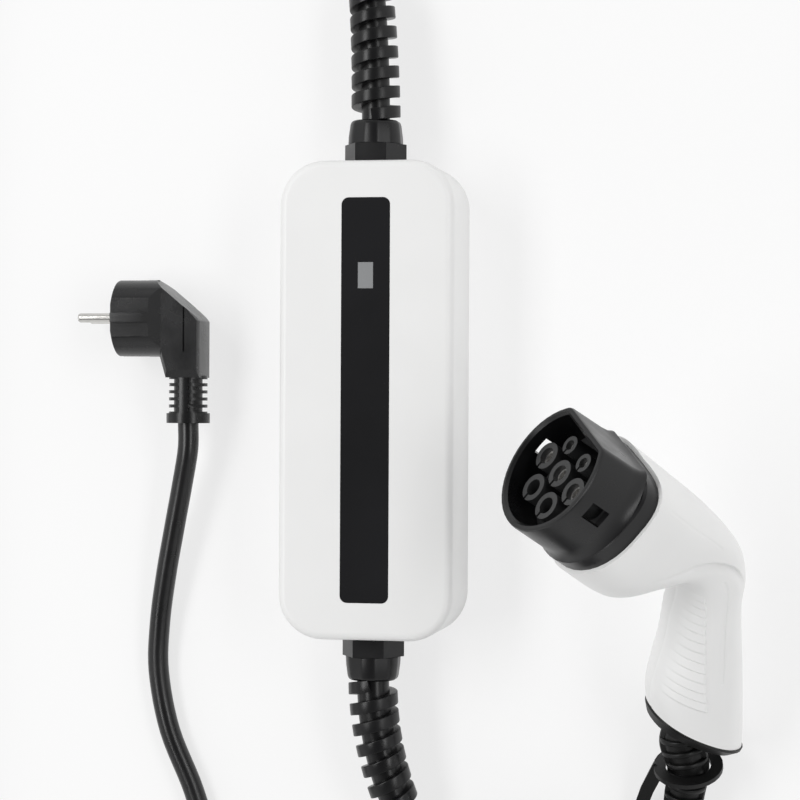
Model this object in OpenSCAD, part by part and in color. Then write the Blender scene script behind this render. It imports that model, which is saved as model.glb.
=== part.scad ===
// Portable electric-vehicle charger, laid out on a bench: a control box on its back, an earthed
// right-angle mains plug on its side, and a Type 2 vehicle connector propped on its end collar.
// Origin: centre of the box's back face. X across the box, Y along it, Z up from the bench.

/* [Control box] */
// Width of the box
body_w = 87; // [76:1:110]
// Length of the box
body_h = 235; // [215:1:270]
// Depth of the box, back to front
body_d = 50; // [48:1:60]
// Radius of the four upright corners
corner_r = 22; // [14:1:28]
// Rounding of the front edge
edge_r = 4; // [2:0.5:6]
// Wall of both covers
case_wall = 3.5; // [3:0.5:5]
// Depth of the rear cover
rear_d = 9; // [8:1:12]
// Width of the seal cord between the covers
seal_w = 1.5; // [1:0.1:1.8]
// Height of the seal cord
seal_h = 1.5; // [1:0.1:2]
// Diameter of the case screws' shanks
case_screw_d = 3; // [2.5:0.5:4]

/* [Front panel] */
// Width of the glossy strip
strip_w = 24; // [18:1:32]
// Length of the glossy strip
strip_h = 198; // [150:1:204]
// Thickness of the glossy strip
strip_t = 1.2; // [0.8:0.1:1.6]
// Corner radius of the strip
strip_r = 3.5; // [2:0.5:6]
// Width of the display window
window_w = 7.5; // [6:0.5:12]
// Height of the display window
window_h = 12.7; // [8:0.5:18]
// Distance of the window's middle below the strip's upper end
window_drop = 38; // [20:1:60]

/* [Circuit board] */
// Room between the board and the side walls
board_gap = 7; // [3:0.5:10]
// Room between the board and the end walls
board_end_gap = 21; // [16:1:30]
// Thickness of the board
board_t = 1.6; // [1:0.2:2.4]
// Height of the posts that carry the board
post_h = 6; // [4:0.5:8]
// Side of a relay's square foot
relay_w = 22; // [18:1:26]
// Height of a relay
relay_h = 25; // [18:1:28]
// Room between the leakage-current ring and the front wall
sensor_room = 3.4; // [2:0.2:8]

/* [Cable glands] */
// Hexagon of a gland, across the flats
gland_af = 27; // [24:1:30]
// Thickness of the hexagon
gland_hex_t = 9.5; // [6:0.5:12]
// Thread diameter of a gland's shank
gland_thread_d = 20; // [18:0.5:21]
// Diameter of the dome nut
dome_d = 27.5; // [25:0.5:30]
// Length of the dome nut
dome_len = 12; // [10:0.5:16]
// Outer diameter of the bend-protection spiral where it starts
spiral_d = 26; // [22:0.5:28]
// Outer diameter of the spiral at its free end
spiral_end_d = 21; // [18:0.5:24]
// Rise of the spiral for each turn
spiral_pitch = 9.8; // [8:0.1:12]
// Axial width of the spiral's band
spiral_band = 6; // [4:0.25:7]
// Turns of each spiral
spiral_turns = 7; // [5:1:7]
// Wall of the tube that the spiral stands on
sleeve_wall = 1.3; // [1:0.1:2]

/* [Mains plug] */
// Diameter of a plug pin
pin_d = 4.8; // [4:0.1:5]
// Length of a plug pin
pin_len = 19; // [18:0.5:20]
// Distance between the pins
pin_pitch = 19; // [18:0.5:20]
// Diameter of the plug's round body
plug_d = 39; // [37:0.5:40]
// Depth of the plug's round body
plug_round = 25; // [22:0.5:30]
// Width of the arm behind the round body
arm_w = 20.5; // [19:0.5:26]
// Thickness of the arm
arm_t = 25; // [22:0.5:30]
// Diameter of the ribs on the plug's strain relief
plug_rib_d = 19.5; // [18:0.5:24]
// Ribs on the plug's strain relief
plug_ribs = 5; // [4:1:6]

/* [Vehicle connector] */
// Diameter of the nose
nose_d = 63; // [60:0.5:66]
// Height of the nose's flat side above its middle
nose_flat = 24.5; // [23:0.5:26]
// Wall of the nose
nose_wall = 3.5; // [2.5:0.25:4]
// Depth of the nose, face to flange
nose_len = 27; // [24:1:32]
// Border of the flange round the nose
flange_border = 4; // [3:0.5:6]
// Distance between neighbouring contacts
contact_pitch = 16.5; // [15.5:0.25:17]
// Diameter of a power contact's tower
tower_d = 13.4; // [12:0.2:14]
// Diameter of a signal contact's tower
small_tower_d = 9; // [8:0.2:10]
// Bore of a power contact
power_bore = 6.1; // [6:0.05:6.3]
// Bore of a signal contact
signal_bore = 3.1; // [3:0.05:3.3]
// Wall of the handle's two shells
shell_wall = 3; // [2.5:0.25:4]
// Depth of the grip ridges
ridge_h = 0.8; // [0.4:0.1:1.2]
// Grip ridges on each shell
ridges = 13; // [10:1:20]
// Thickness of the end collar
collar_t = 5.5; // [4:0.5:8]

/* [Tether and cap] */
// Width of the tether strap
strap_w = 6.5; // [5:0.5:8]
// Thickness of the tether strap
strap_t = 2.4; // [2:0.2:3]
// Depth of the dust cap's cup
cap_depth = 20; // [16:1:26]
// Wall of the dust cap
cap_wall = 2.4; // [2:0.2:3]

/* [Leads] */
// Diameter of the mains lead
mains_d = 10.5; // [9:0.25:11]
// Diameter of the vehicle lead
ev_d = 12.5; // [11:0.25:13]
// Diameter of the stored coil, at the middle of its turns
coil_d = 137; // [125:1:150]
// Width of the coil's ties
tie_w = 16; // [12:1:20]
// Thickness of the coil's ties
tie_t = 1.2; // [0.8:0.1:1.6]

/* [Hidden] */

fit = 0.2;       // clearance of parts that slip into each other
eps = 0.01;      // overshoot of a cut
slice = 0.1;     // thickness of a section that a hull starts from
white = [0.93, 0.93, 0.92];
black = [0.07, 0.07, 0.08];
grey = [0.45, 0.46, 0.48];
metal = [0.78, 0.78, 0.76];

// Control box
half_w = body_w / 2;
half_h = body_h / 2;
inner_front = body_d - case_wall;
window_y = strip_h / 2 - window_drop;
boss_in = corner_r / 2;
boss_r = case_screw_d / 2 + 3;
boss_at = [for (sx = [-1, 1], sy = [-1, 1]) [sx * (half_w - boss_in), sy * (half_h - boss_in)]];
screw_head_r = case_screw_d;
screw_head_h = 2.4;
screw_grip = 12;
board_w = body_w - 2 * (case_wall + board_gap);
board_h = body_h - 2 * (case_wall + board_end_gap);
board_z = case_wall + post_h;
board_top = board_z + board_t;
sensor_d = inner_front - board_top - sensor_room;
post_in = 5;
post_r = 3.2;
post_bore = 1.1;
post_at = [for (sx = [-1, 1], sy = [-1, 1]) [sx * (board_w / 2 - post_in), sy * (board_h / 2 - post_in)]];
terminal_w = 34;
terminal_d = 12;
terminal_y = board_h / 2 - 1;
terminal_h = body_d / 2 + ev_d / 2 + 2 - board_top;
relay_at = [-34, -8];
edge_room = 4;           // room between the parts on the board and its edge
sensor_y = 34;
sensor_t = 12;

// Glands and spirals
gland_z = body_d / 2;
thread_in = 2;
lock_nut_t = 5;
thread_out = 8;
seal_r = gland_thread_d / 2 - 1.8;
dome_y = half_h + gland_hex_t + dome_len;
spiral_len = spiral_turns * spiral_pitch;
sides_turn = 12;
sleeve_gap = 0.45;       // play of the lead in the spiral's tube
top_end = [-4, 4];       // sideways drift and drop of the top spiral's end
bottom_end = [14, 7];    // sideways drift and drop of the bottom spiral's end
function drift(dir) = dir > 0 ? top_end : bottom_end;
function sq(v) = v * v;
function gland_axis(dir, l) = [drift(dir)[0] * sq(max(l, 0) / spiral_len), dir * (dome_y + l),
                               gland_z - drift(dir)[1] * sq(max(l, 0) / spiral_len)];
function gland_ring(dir, l, r, sides) =
    ring_at(gland_axis(dir, l), unit(gland_axis(dir, l + 0.5) - gland_axis(dir, l - 0.5)), r, sides);
function spiral_r(l) = (spiral_d + (spiral_end_d - spiral_d) * l / spiral_len) / 2;

// Plug, lying on its round side with the pins to the left
plug_face_x = -133.5;
plug_y = 41;
plug_z = plug_d / 2;
plug_back_x = plug_face_x + plug_round;
arm_left_x = plug_back_x - 1;
arm_side_x = arm_left_x + arm_w;
arm_bevel = 2.5;
arm_end_y = 11;
slope_run = 3.5;         // part of the round body that the arm's slope cuts
lead_in = 8.3;           // distance of the lead's middle from the arm's side
plug_cord_x = arm_side_x - lead_in;
plug_relief_len = 18;
plug_ring_t = 5;
plug_ring_d = plug_rib_d + 2.5;
plug_core_d = plug_rib_d - 5;
relief_end_y = arm_end_y - plug_relief_len - plug_ring_t;
spine_w = 4.4;
pocket_in = 8;           // distance of the finger pocket from the arm's side
guide_w = 18.8;
guide_rib_w = 4.6;
guide_len = 20;
guide_z = sqrt(sq(plug_d / 2) - sq(guide_w / 2));
insert_r = 15.5;
insert_t = 3;
pin_root = 9;
pin_root_d = pin_d + 1.4;
clip_w = 5.6;
clip_len = 16;
clip_t = 0.8;
clip_drop = 0.9;         // depth of the clips below the plug's round side
earth_y = 10;
earth_bore = 4.9;
earth_wall = 0.6;
earth_len = 16;

// Connector frame: X across, Y up to the flat side of the nose, Z out of the mouth
connector_at = [101.8, -29.7, 134.5];
connector_turn = [6.5, -50, -46];
nose_r = nose_d / 2;
nose_corner = 5;
mouth_depth = 26;
tower_drop = 5.5;
contact_drop = 3;
plate_t = 6;
low_row = -13.8;
high_row = 11.7;
power_at = [[-contact_pitch, 0], [0, 0], [contact_pitch, 0]];
spare_at = [[-contact_pitch / 2, low_row], [contact_pitch / 2, low_row]];
signal_at = [[-contact_pitch / 2, high_row], [contact_pitch / 2, high_row]];
contact_wall = 0.9;
lock_window = [8.2, 10.5];
lock_window_z = -12.3;
flange_r = nose_r + flange_border;
flange_flat = nose_flat + flange_border - 1;
flange_back = -35.5;     // distance of the flange's back from the face
flange_step = 1.8;       // set-back of the black flange inside the white shells
spigot_len = 9;
spigot_in = 3;           // its distance inside the nose's outline

// Stations of the handle in the plane of symmetry: front point y and z, back point y and z,
// half width, place of the widest point from front to back, roundness of the front and back halves
stations = [
    [-flange_r, flange_back, flange_flat, flange_back,
     flange_r, flange_r / (flange_r + flange_flat), 1, 0.56],
    [-35.8, -56, 27.2, -44, 34.6, 0.56, 0.97, 0.58],
    [-33, -65.5, 26.5, -62, 31, 0.55, 0.93, 0.62],
    [-23.5, -74.5, 25.3, -84, 25.4, 0.53, 0.9, 0.68],
    [-12, -82.5, 21.5, -104, 22.6, 0.52, 0.87, 0.75],
    [-8.5, -90.5, 12.5, -117, 22.2, 0.5, 0.85, 0.8],
    [-15, -99.5, 2.3, -124.9, 21.6, 0.5, 0.85, 0.82],
    [-26.3, -106.5, -8, -135.8, 21.2, 0.5, 0.85, 0.84],
    [-39, -115, -21.5, -151, 20.8, 0.5, 0.85, 0.85],
    [-52, -122, -35.5, -166, 21, 0.5, 0.85, 0.87],
    [-62.5, -128.5, -48.5, -180, 21.4, 0.5, 0.85, 0.93],
    [-70, -136.5, -59, -190.5, 21.8, 0.5, 0.85, 1]
];
last = len(stations) - 1;
ridge_from = 5.4;
ridge_to = 9.6;
ridge_arc = [-76, -16];   // part of the section that carries ridges, in degrees
shell_sides = 10;        // facets across one shell
head_rings = 15;
inner_rings = 12;
thumb_at = [3.7, 14];    // middle of the thumb dent: station and degrees
thumb_reach = [0.35, 18];
thumb_lean = 0.05;       // stations that the dent moves down for each degree to the back
thumb_dent = 2.2;
handle_screw_d = 3;
handle_screw_sink = 5;   // depth of a screw's head in the left shell
handle_screw_bite = 9;   // depth of its tip in the right shell
handle_screw_head = 2.4;
handle_screws_at = [[1.6, -0.5], [3.4, 0.45], [6.2, 0.1], [8.2, 0]];
clamp_in = 6;
clamp_t = 8;
clamp_ear = 15.5;

// Strain relief of the handle: its way from the collar to the bench
relief_d = 23;
relief_tip_d = 17;
relief_ribs = 6;
relief_root_d = 18;
relief_groove = 1.8;
relief_rib_t = 2.2;
boot_sides = 16;
relief_gap = 0.9;        // free length of the boot's root behind the collar
relief_way = [[156, -178, 20], [153.5, -195, 15.2], [151.4, -211, 11.6], [150, -225, 9.4]];
tether_wall = strap_w - 1;
tether_sag = 2;
tether_at = 2;           // place of the ring along the relief's way

// Dust cap on the bench
cap_at = [82, -244];
cap_floor = 3;
cap_gap = 0.6;
cap_tab_turn = 20;
cap_tab_r = 6;
cap_post_r = 2.2;
strap_lift = 0.2;

// Coil and leads
coil_at = [70, -368];
coil_r = coil_d / 2;
coil_rows = 3;            // turns beside each other, and turns on each other
bundle = coil_rows * ev_d;
tie_gap = 0.1;
coil_lift = tie_t + tie_gap;
cord_sides = 9;
tie_turns = [84, 204, 324];
mains_way = concat(
    [[0, terminal_y, gland_z], [0, dome_y, gland_z]],
    [for (q = [0.25, 0.5, 0.75, 1]) gland_axis(1, q * spiral_len)],
    [[-9, 234, 18.5], [-23, 249, 15.5], [-43, 257, 12.5], [-70, 260, 9], [-97, 261, 7],
     [-124, 262, 5.6], [-152, 262, 5.4], [-178, 257, 5.4], [-199, 245, 5.4], [-213, 224, 5.4]],
    [for (y = [200:-28:-192]) [-218, y, 5.4]],
    [[-216, -220, 5.4], [-210, -246, 5.4], [-194, -268, 5.4], [-168, -281, 5.4], [-139, -283, 5.4],
     [-115, -272, 5.4], [-98, -252, 5.4], [-91, -226, 5.4], [-97, -201, 5.4], [-110, -170, 5.4],
     [-116, -140, 5.6], [-115, -115, 7.5], [-111, -90, 10.5], [-106, -66, 13.5], [-101, -43, 16.5],
     [plug_cord_x, relief_end_y - 13, plug_z], [plug_cord_x, relief_end_y, plug_z]]
);
box_end_way = concat(
    [[0, -terminal_y, gland_z], [0, -dome_y, gland_z]],
    [for (q = [0.25, 0.5, 0.75, 1]) gland_axis(-1, q * spiral_len)],
    [[20, -238, 13.5], [18, -264, 10], [8, -289, 8], [-7, -312, 6.9], [-19, -335, 6.4],
     [-23.5, -352, 6.4], [-23.8, -368, 6.4]]
);
handle_end_way = [
    [149.96, -225.4, 9.33], [148.7, -238, 7.3], [148.6, -256, 6.4], [151, -277, 6.4], [155, -300, 6.4],
    [160, -325, 6.4], [163.3, -350, 6.4], [163.8, -368, 6.4]
];

// Vectors
function unit(v) = v / norm(v);
function mix(a, b, t) = a + (b - a) * t;
function turn_x(v, a) = [v[0], v[1] * cos(a) - v[2] * sin(a), v[1] * sin(a) + v[2] * cos(a)];
function turn_y(v, a) = [v[0] * cos(a) + v[2] * sin(a), v[1], -v[0] * sin(a) + v[2] * cos(a)];
function turn_z(v, a) = [v[0] * cos(a) - v[1] * sin(a), v[0] * sin(a) + v[1] * cos(a), v[2]];
function turned(v, a) = turn_z(turn_y(turn_x(v, a[0]), a[1]), a[2]);
function on_bench(p) = connector_at + turned(p, connector_turn);
function way_tangent(way, i) = unit(way[min(i + 1, len(way) - 1)] - way[max(i - 1, 0)]);
function flat_side(t) = unit(cross(t, [0, 0, 1]));
function ring_at(p, t, r, sides) =
    let (e2 = flat_side(t), e1 = cross(e2, t))
    [for (k = [0:sides - 1]) p + r * (cos(360 * k / sides) * e1 + sin(360 * k / sides) * e2)];

// A point on the smooth curve through a list of points, u counting the points
function smooth(list, u) =
    let (i = min(floor(u), len(list) - 2), t = u - i,
         a = list[max(i - 1, 0)], b = list[i], c = list[i + 1], d = list[min(i + 2, len(list) - 1)])
    (2 * b + (c - a) * t + (2 * a - 5 * b + 4 * c - d) * t * t + (3 * b - a - 3 * c + d) * t * t * t) / 2;

// A closed skin over equal rings of points. The end faces are given by places in a ring.
module skin(rings, ends = undef) {
    n = len(rings[0]);
    m = len(rings);
    faces = is_undef(ends) ? [[for (k = [0:n - 1]) k]] : ends;
    walls = [for (i = [0:m - 2], k = [0:n - 1], half = [0, 1])
        let (a = i * n + k, b = i * n + (k + 1) % n)
        half == 0 ? [a, a + n, b + n] : [a, b + n, b]];
    last_faces = [for (f = faces) [for (j = [len(f) - 1:-1:0]) f[j] + (m - 1) * n]];
    polyhedron([for (ring = rings, p = ring) p], concat(faces, walls, last_faces), convexity = 10);
}

// A round cord along its way
module cord(way, d) {
    skin([for (i = [0:len(way) - 1]) ring_at(way[i], way_tangent(way, i), d / 2, cord_sides)]);
}

// A disc of thickness t that stands across a way
module across(p, dir, r, t, sides = 24) {
    skin([ring_at(p - dir * t / 2, dir, r, sides), ring_at(p + dir * t / 2, dir, r, sides)]);
}

module rounded_rect(w, h, r) {
    square([w - 2 * r, h], center = true);
    square([w, h - 2 * r], center = true);
    for (sx = [-1, 1], sy = [-1, 1])
        translate([sx * (w / 2 - r), sy * (h / 2 - r)]) circle(r, $fn = 48);
}

module slab(w, h, r, z0, z1) {
    translate([0, 0, z0]) linear_extrude(z1 - z0) rounded_rect(w, h, r);
}

// Outline of the nose: a circle with one flat side and rounded corners
module nose_outline(r, flat_y, c, sides) {
    far = 2 * r;
    cy = flat_y - c;
    cx = sqrt(sq(r - c) - sq(cy));
    dir = [cx, cy] / (r - c);
    intersection() {
        circle(r, $fn = sides);
        polygon([[0, 0], dir * far, [far, -far], [-far, -far], [-dir[0], dir[1]] * far]);
    }
    polygon([[0, 0], dir * r, [cx, flat_y], [-cx, flat_y], [-dir[0], dir[1]] * r]);
    for (sx = [-1, 1]) translate([sx * cx, cy]) circle(c, $fn = 32);
}

module along_y(dir) {
    rotate([dir > 0 ? -90 : 90, 0, 0]) children();
}

// Rear cover: a shallow tray with screw posts, board posts and a seal groove
module rear_cover() color(white) {
    groove_in = (case_wall - seal_w) / 2;
    difference() {
        union() {
            slab(body_w, body_h, corner_r, 0, rear_d);
            for (p = post_at) translate([p[0], p[1], case_wall / 2])
                cylinder(r = post_r, h = board_z - case_wall / 2, $fn = 32);
        }
        difference() {
            slab(body_w - 2 * case_wall, body_h - 2 * case_wall, corner_r - case_wall,
                 case_wall, rear_d + eps);
            for (p = boss_at) translate([p[0], p[1], 0]) cylinder(r = boss_r, h = body_d, $fn = 32);
            for (p = post_at) translate([p[0], p[1], 0]) cylinder(r = post_r, h = board_z, $fn = 32);
        }
        difference() {
            slab(body_w - 2 * groove_in, body_h - 2 * groove_in, corner_r - groove_in,
                 rear_d - seal_h, rear_d + eps);
            slab(body_w - 2 * (groove_in + seal_w), body_h - 2 * (groove_in + seal_w),
                 corner_r - groove_in - seal_w, 0, rear_d + 1);
        }
        for (p = boss_at) translate([p[0], p[1], -1]) {
            cylinder(d = case_screw_d + fit, h = rear_d + 2, $fn = 32);
            cylinder(r = screw_head_r + fit, h = 1 + screw_head_h + fit, $fn = 32);
        }
        for (p = post_at) translate([p[0], p[1], case_wall])
            cylinder(r = post_bore, h = post_h + 1, $fn = 32);
    }
}

// Front cover: a deep shell with a rounded front edge, a pocket for the strip and the gland holes
module front_cover() color(white) {
    difference() {
        hull() {
            slab(body_w, body_h, corner_r, rear_d, body_d - edge_r);
            for (a = [30, 60, 90]) {
                inset = edge_r * (1 - cos(a));
                slab(body_w - 2 * inset, body_h - 2 * inset, corner_r - inset,
                     body_d - edge_r, body_d - edge_r + edge_r * sin(a));
            }
        }
        difference() {
            slab(body_w - 2 * case_wall, body_h - 2 * case_wall, corner_r - case_wall,
                 rear_d - eps, inner_front);
            for (p = boss_at) translate([p[0], p[1], rear_d - 1])
                cylinder(r = boss_r, h = body_d, $fn = 32);
        }
        slab(strip_w + fit, strip_h + fit, strip_r + fit / 2, body_d - strip_t, body_d + 1);
        translate([0, window_y, inner_front])
            cube([window_w - 1.5, window_h - 1.5, 3 * case_wall], center = true);
        for (dir = [-1, 1]) translate([0, dir * (half_h + 1), gland_z]) along_y(-dir)
            cylinder(d = gland_thread_d + fit, h = case_wall + 4, $fn = 48);
        for (p = boss_at) translate([p[0], p[1], rear_d - 1])
            cylinder(d = case_screw_d - 0.4, h = screw_grip + 3, $fn = 32);
    }
}

module box_seal() color(grey) {
    seal_in = (case_wall - seal_w) / 2 + 0.05;
    difference() {
        slab(body_w - 2 * seal_in, body_h - 2 * seal_in, corner_r - seal_in, rear_d - seal_h, rear_d);
        slab(body_w - 2 * (seal_in + seal_w - 0.1), body_h - 2 * (seal_in + seal_w - 0.1),
             corner_r - seal_in - seal_w + 0.1, 0, rear_d + 1);
    }
}

module case_screws() color(metal) {
    for (p = boss_at) translate([p[0], p[1], fit]) difference() {
        union() {
            cylinder(r = screw_head_r, h = screw_head_h, $fn = 32);
            cylinder(d = case_screw_d - 0.4 - fit, h = rear_d + screw_grip, $fn = 32);
        }
        translate([0, 0, -eps]) cylinder(d = case_screw_d * 0.8, h = 1.4, $fn = 6);
    }
}

module front_panel() color(black) {
    difference() {
        slab(strip_w, strip_h, strip_r, body_d - strip_t, body_d);
        translate([0, window_y, body_d])
            cube([window_w + fit, window_h + fit, 3 * strip_t], center = true);
    }
}

module display_window() color(grey) {
    translate([-window_w / 2, window_y - window_h / 2, body_d - strip_t])
        cube([window_w, window_h, strip_t]);
}

module display_module() color(black) {
    glass_t = 1.2;
    frame_t = 3;
    translate([-window_w, window_y - window_h, inner_front - glass_t])
        cube([2 * window_w, 2 * window_h, glass_t]);
    translate([-window_w * 0.8, window_y - window_h * 0.8, inner_front - glass_t - frame_t])
        cube([1.6 * window_w, 1.6 * window_h, frame_t + eps]);
}

module control_board() color([0.1, 0.35, 0.2]) {
    difference() {
        slab(board_w, board_h, 3, board_z, board_top);
        for (p = post_at) translate([p[0], p[1], board_z - 1])
            cylinder(r = post_bore + fit, h = board_t + 2, $fn = 32);
    }
}

module board_screws() color(metal) {
    for (p = post_at) translate([p[0], p[1], 0]) {
        translate([0, 0, board_top]) cylinder(r = 2.4, h = 1.8, $fn = 32);
        translate([0, 0, case_wall + 1])
            cylinder(r = post_bore - 0.05, h = board_top - case_wall - 0.9, $fn = 32);
    }
}

module relays() color([0.15, 0.2, 0.45]) {
    lid = 1;
    for (y = relay_at) translate([board_w / 2 - relay_w - edge_room, y - relay_w / 2, board_top]) {
        cube([relay_w, relay_w, relay_h * 0.3]);
        translate([lid, lid, 0]) cube([relay_w - 2 * lid, relay_w - 2 * lid, relay_h]);
    }
}

// Ring that senses leakage current, standing on its foot with the conductors' hole along the box
module leakage_sensor() color([0.2, 0.2, 0.22]) {
    foot_h = 4;
    translate([0, sensor_y, board_top]) {
        translate([0, sensor_t / 2, sensor_d / 2]) rotate([90, 0, 0]) difference() {
            cylinder(d = sensor_d, h = sensor_t, $fn = 64);
            translate([0, 0, -1]) cylinder(d = sensor_d * 0.55, h = sensor_t + 2, $fn = 64);
        }
        difference() {
            translate([-sensor_d * 0.4, -sensor_t / 2, 0]) cube([sensor_d * 0.8, sensor_t, foot_h]);
            translate([0, sensor_t, sensor_d / 2]) rotate([90, 0, 0])
                cylinder(d = sensor_d * 0.8, h = 2 * sensor_t, $fn = 64);
        }
    }
}

module supply_transformer() color([0.75, 0.65, 0.3]) {
    core = [20, 24, 17];
    leg = 5;
    translate([-board_w / 2 + edge_room, -44, board_top]) {
        translate([0, leg, 0]) cube([core[0], core[1] - 2 * leg, core[2]]);
        translate([3, 0, 3]) cube([core[0] - 6, core[1], core[2] - 6]);
    }
}

module capacitors() color([0.12, 0.12, 0.2]) {
    can_r = 6;
    for (y = [-8, 8]) translate([-board_w / 2 + edge_room + can_r, y, board_top]) {
        cylinder(r = can_r, h = 17, $fn = 48);
        cylinder(r = can_r + 0.4, h = 1.5, $fn = 48);
    }
}

// A terminal block at one end of the board, with screw wells on top
module terminal(dir) {
    wells = 3;
    well_r = 2.6;
    well_h = 7;
    near_y = dir * (terminal_y - terminal_d / 2) - terminal_d / 2;
    translate([-terminal_w / 2, near_y, board_top]) difference() {
        cube([terminal_w, terminal_d, terminal_h]);
        for (i = [0:wells - 1])
            translate([terminal_w * (i + 0.5) / wells, terminal_d / 2, terminal_h - well_h])
                cylinder(r = well_r, h = well_h + 1, $fn = 32);
    }
}

module mains_terminal() color([0.15, 0.45, 0.25]) terminal(1);

module output_terminal() color([0.15, 0.45, 0.25]) terminal(-1);

// Gland body: hexagon outside the wall, threaded shank through it and a cup for the seal
module gland_body(dir, lead_d) color(black) {
    inside = case_wall + lock_nut_t + thread_in;
    shank = inside + gland_hex_t + thread_out;
    translate([0, dir * half_h, gland_z]) along_y(dir) difference() {
        union() {
            cylinder(d = gland_af / cos(30), h = gland_hex_t, $fn = 6);
            translate([0, 0, -inside]) cylinder(d = gland_thread_d, h = shank, $fn = 48);
        }
        translate([0, 0, -inside - 1]) cylinder(d = lead_d + 4 * fit, h = shank + 2, $fn = 48);
        translate([0, 0, gland_hex_t - 2]) cylinder(r = seal_r + 0.1, h = thread_out + 3, $fn = 48);
    }
}

module gland_lock_nut(dir) color(black) {
    translate([0, dir * (half_h - case_wall), gland_z]) along_y(-dir) difference() {
        cylinder(d = gland_af / cos(30), h = lock_nut_t, $fn = 6);
        translate([0, 0, -1]) cylinder(d = gland_thread_d + 0.2, h = lock_nut_t + 2, $fn = 48);
    }
}

module gland_seal(dir, lead_d) color(grey) {
    translate([0, dir * (half_h + gland_hex_t - 2), gland_z]) along_y(dir) difference() {
        cylinder(r = seal_r, h = thread_out + 2, $fn = 48);
        translate([0, 0, -1]) cylinder(d = lead_d + 2 * fit, h = thread_out + 4, $fn = 48);
    }
}

// Dome nut with its bend protection: a thin tube along the lead and a right-handed band round it
module gland_spiral(dir, lead_d) color(black) {
    bore_r = lead_d / 2 + sleeve_gap;
    sleeve_r = bore_r + sleeve_wall;
    dome_r = dome_d / 2;
    pieces = 8;
    tube_sides = 12;
    steps = spiral_turns * sides_turn;
    band_rings = [for (i = [0:steps - sides_turn / 2])
        let (l = spiral_band / 2 - 1 + i * spiral_pitch / sides_turn,
             a = 360 * i / sides_turn,
             t = unit(gland_axis(dir, l + 0.5) - gland_axis(dir, l - 0.5)),
             e2 = flat_side(t), e1 = cross(e2, t),
             out = cos(a) * e1 + sin(a) * e2,
             half = t * spiral_band / 2,
             p = gland_axis(dir, l))
        [p - half + out * (sleeve_r - 0.6), p + half + out * (sleeve_r - 0.6),
         p + half + out * spiral_r(l), p - half + out * spiral_r(l)]];
    difference() {
        union() {
            translate([0, dir * (half_h + gland_hex_t), gland_z]) along_y(dir) intersection() {
                rotate_extrude($fn = 36)
                    polygon([[0, 0], [dome_r, 0], [dome_r - 0.5, dome_len - 3], [dome_r - 1.4, dome_len - 1],
                             [dome_r - 3, dome_len], [0, dome_len]]);
                cylinder(d = (dome_d - 1) / cos(30), h = dome_len, $fn = 6);
            }
            for (i = [0:pieces - 1]) hull() skin([for (j = [i, i + 1])
                gland_ring(dir, -1 + (spiral_len + 1) * j / pieces, sleeve_r, tube_sides)]);
            skin(band_rings);
        }
        translate([0, dir * (half_h + gland_hex_t - 1), gland_z]) along_y(dir)
            cylinder(d = gland_thread_d + 0.3, h = thread_out + 1.3, $fn = 48);
        skin([for (j = [-2:pieces + 1])
            gland_ring(dir, (spiral_len + 1) * j / pieces, bore_r / cos(180 / tube_sides), tube_sides)]);
    }
}

module top_gland_body() gland_body(1, mains_d);
module top_gland_lock_nut() gland_lock_nut(1);
module top_gland_seal() gland_seal(1, mains_d);
module top_gland_spiral() gland_spiral(1, mains_d);
module bottom_gland_body() gland_body(-1, ev_d);
module bottom_gland_lock_nut() gland_lock_nut(-1);
module bottom_gland_seal() gland_seal(-1, ev_d);
module bottom_gland_spiral() gland_spiral(-1, ev_d);

// Turns a shape whose axis is Z so that it points along the plug's pins
module plug_axis(y = 0, z = 0) {
    translate([plug_face_x, plug_y + y, plug_z + z]) rotate([0, 90, 0]) children();
}

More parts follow.
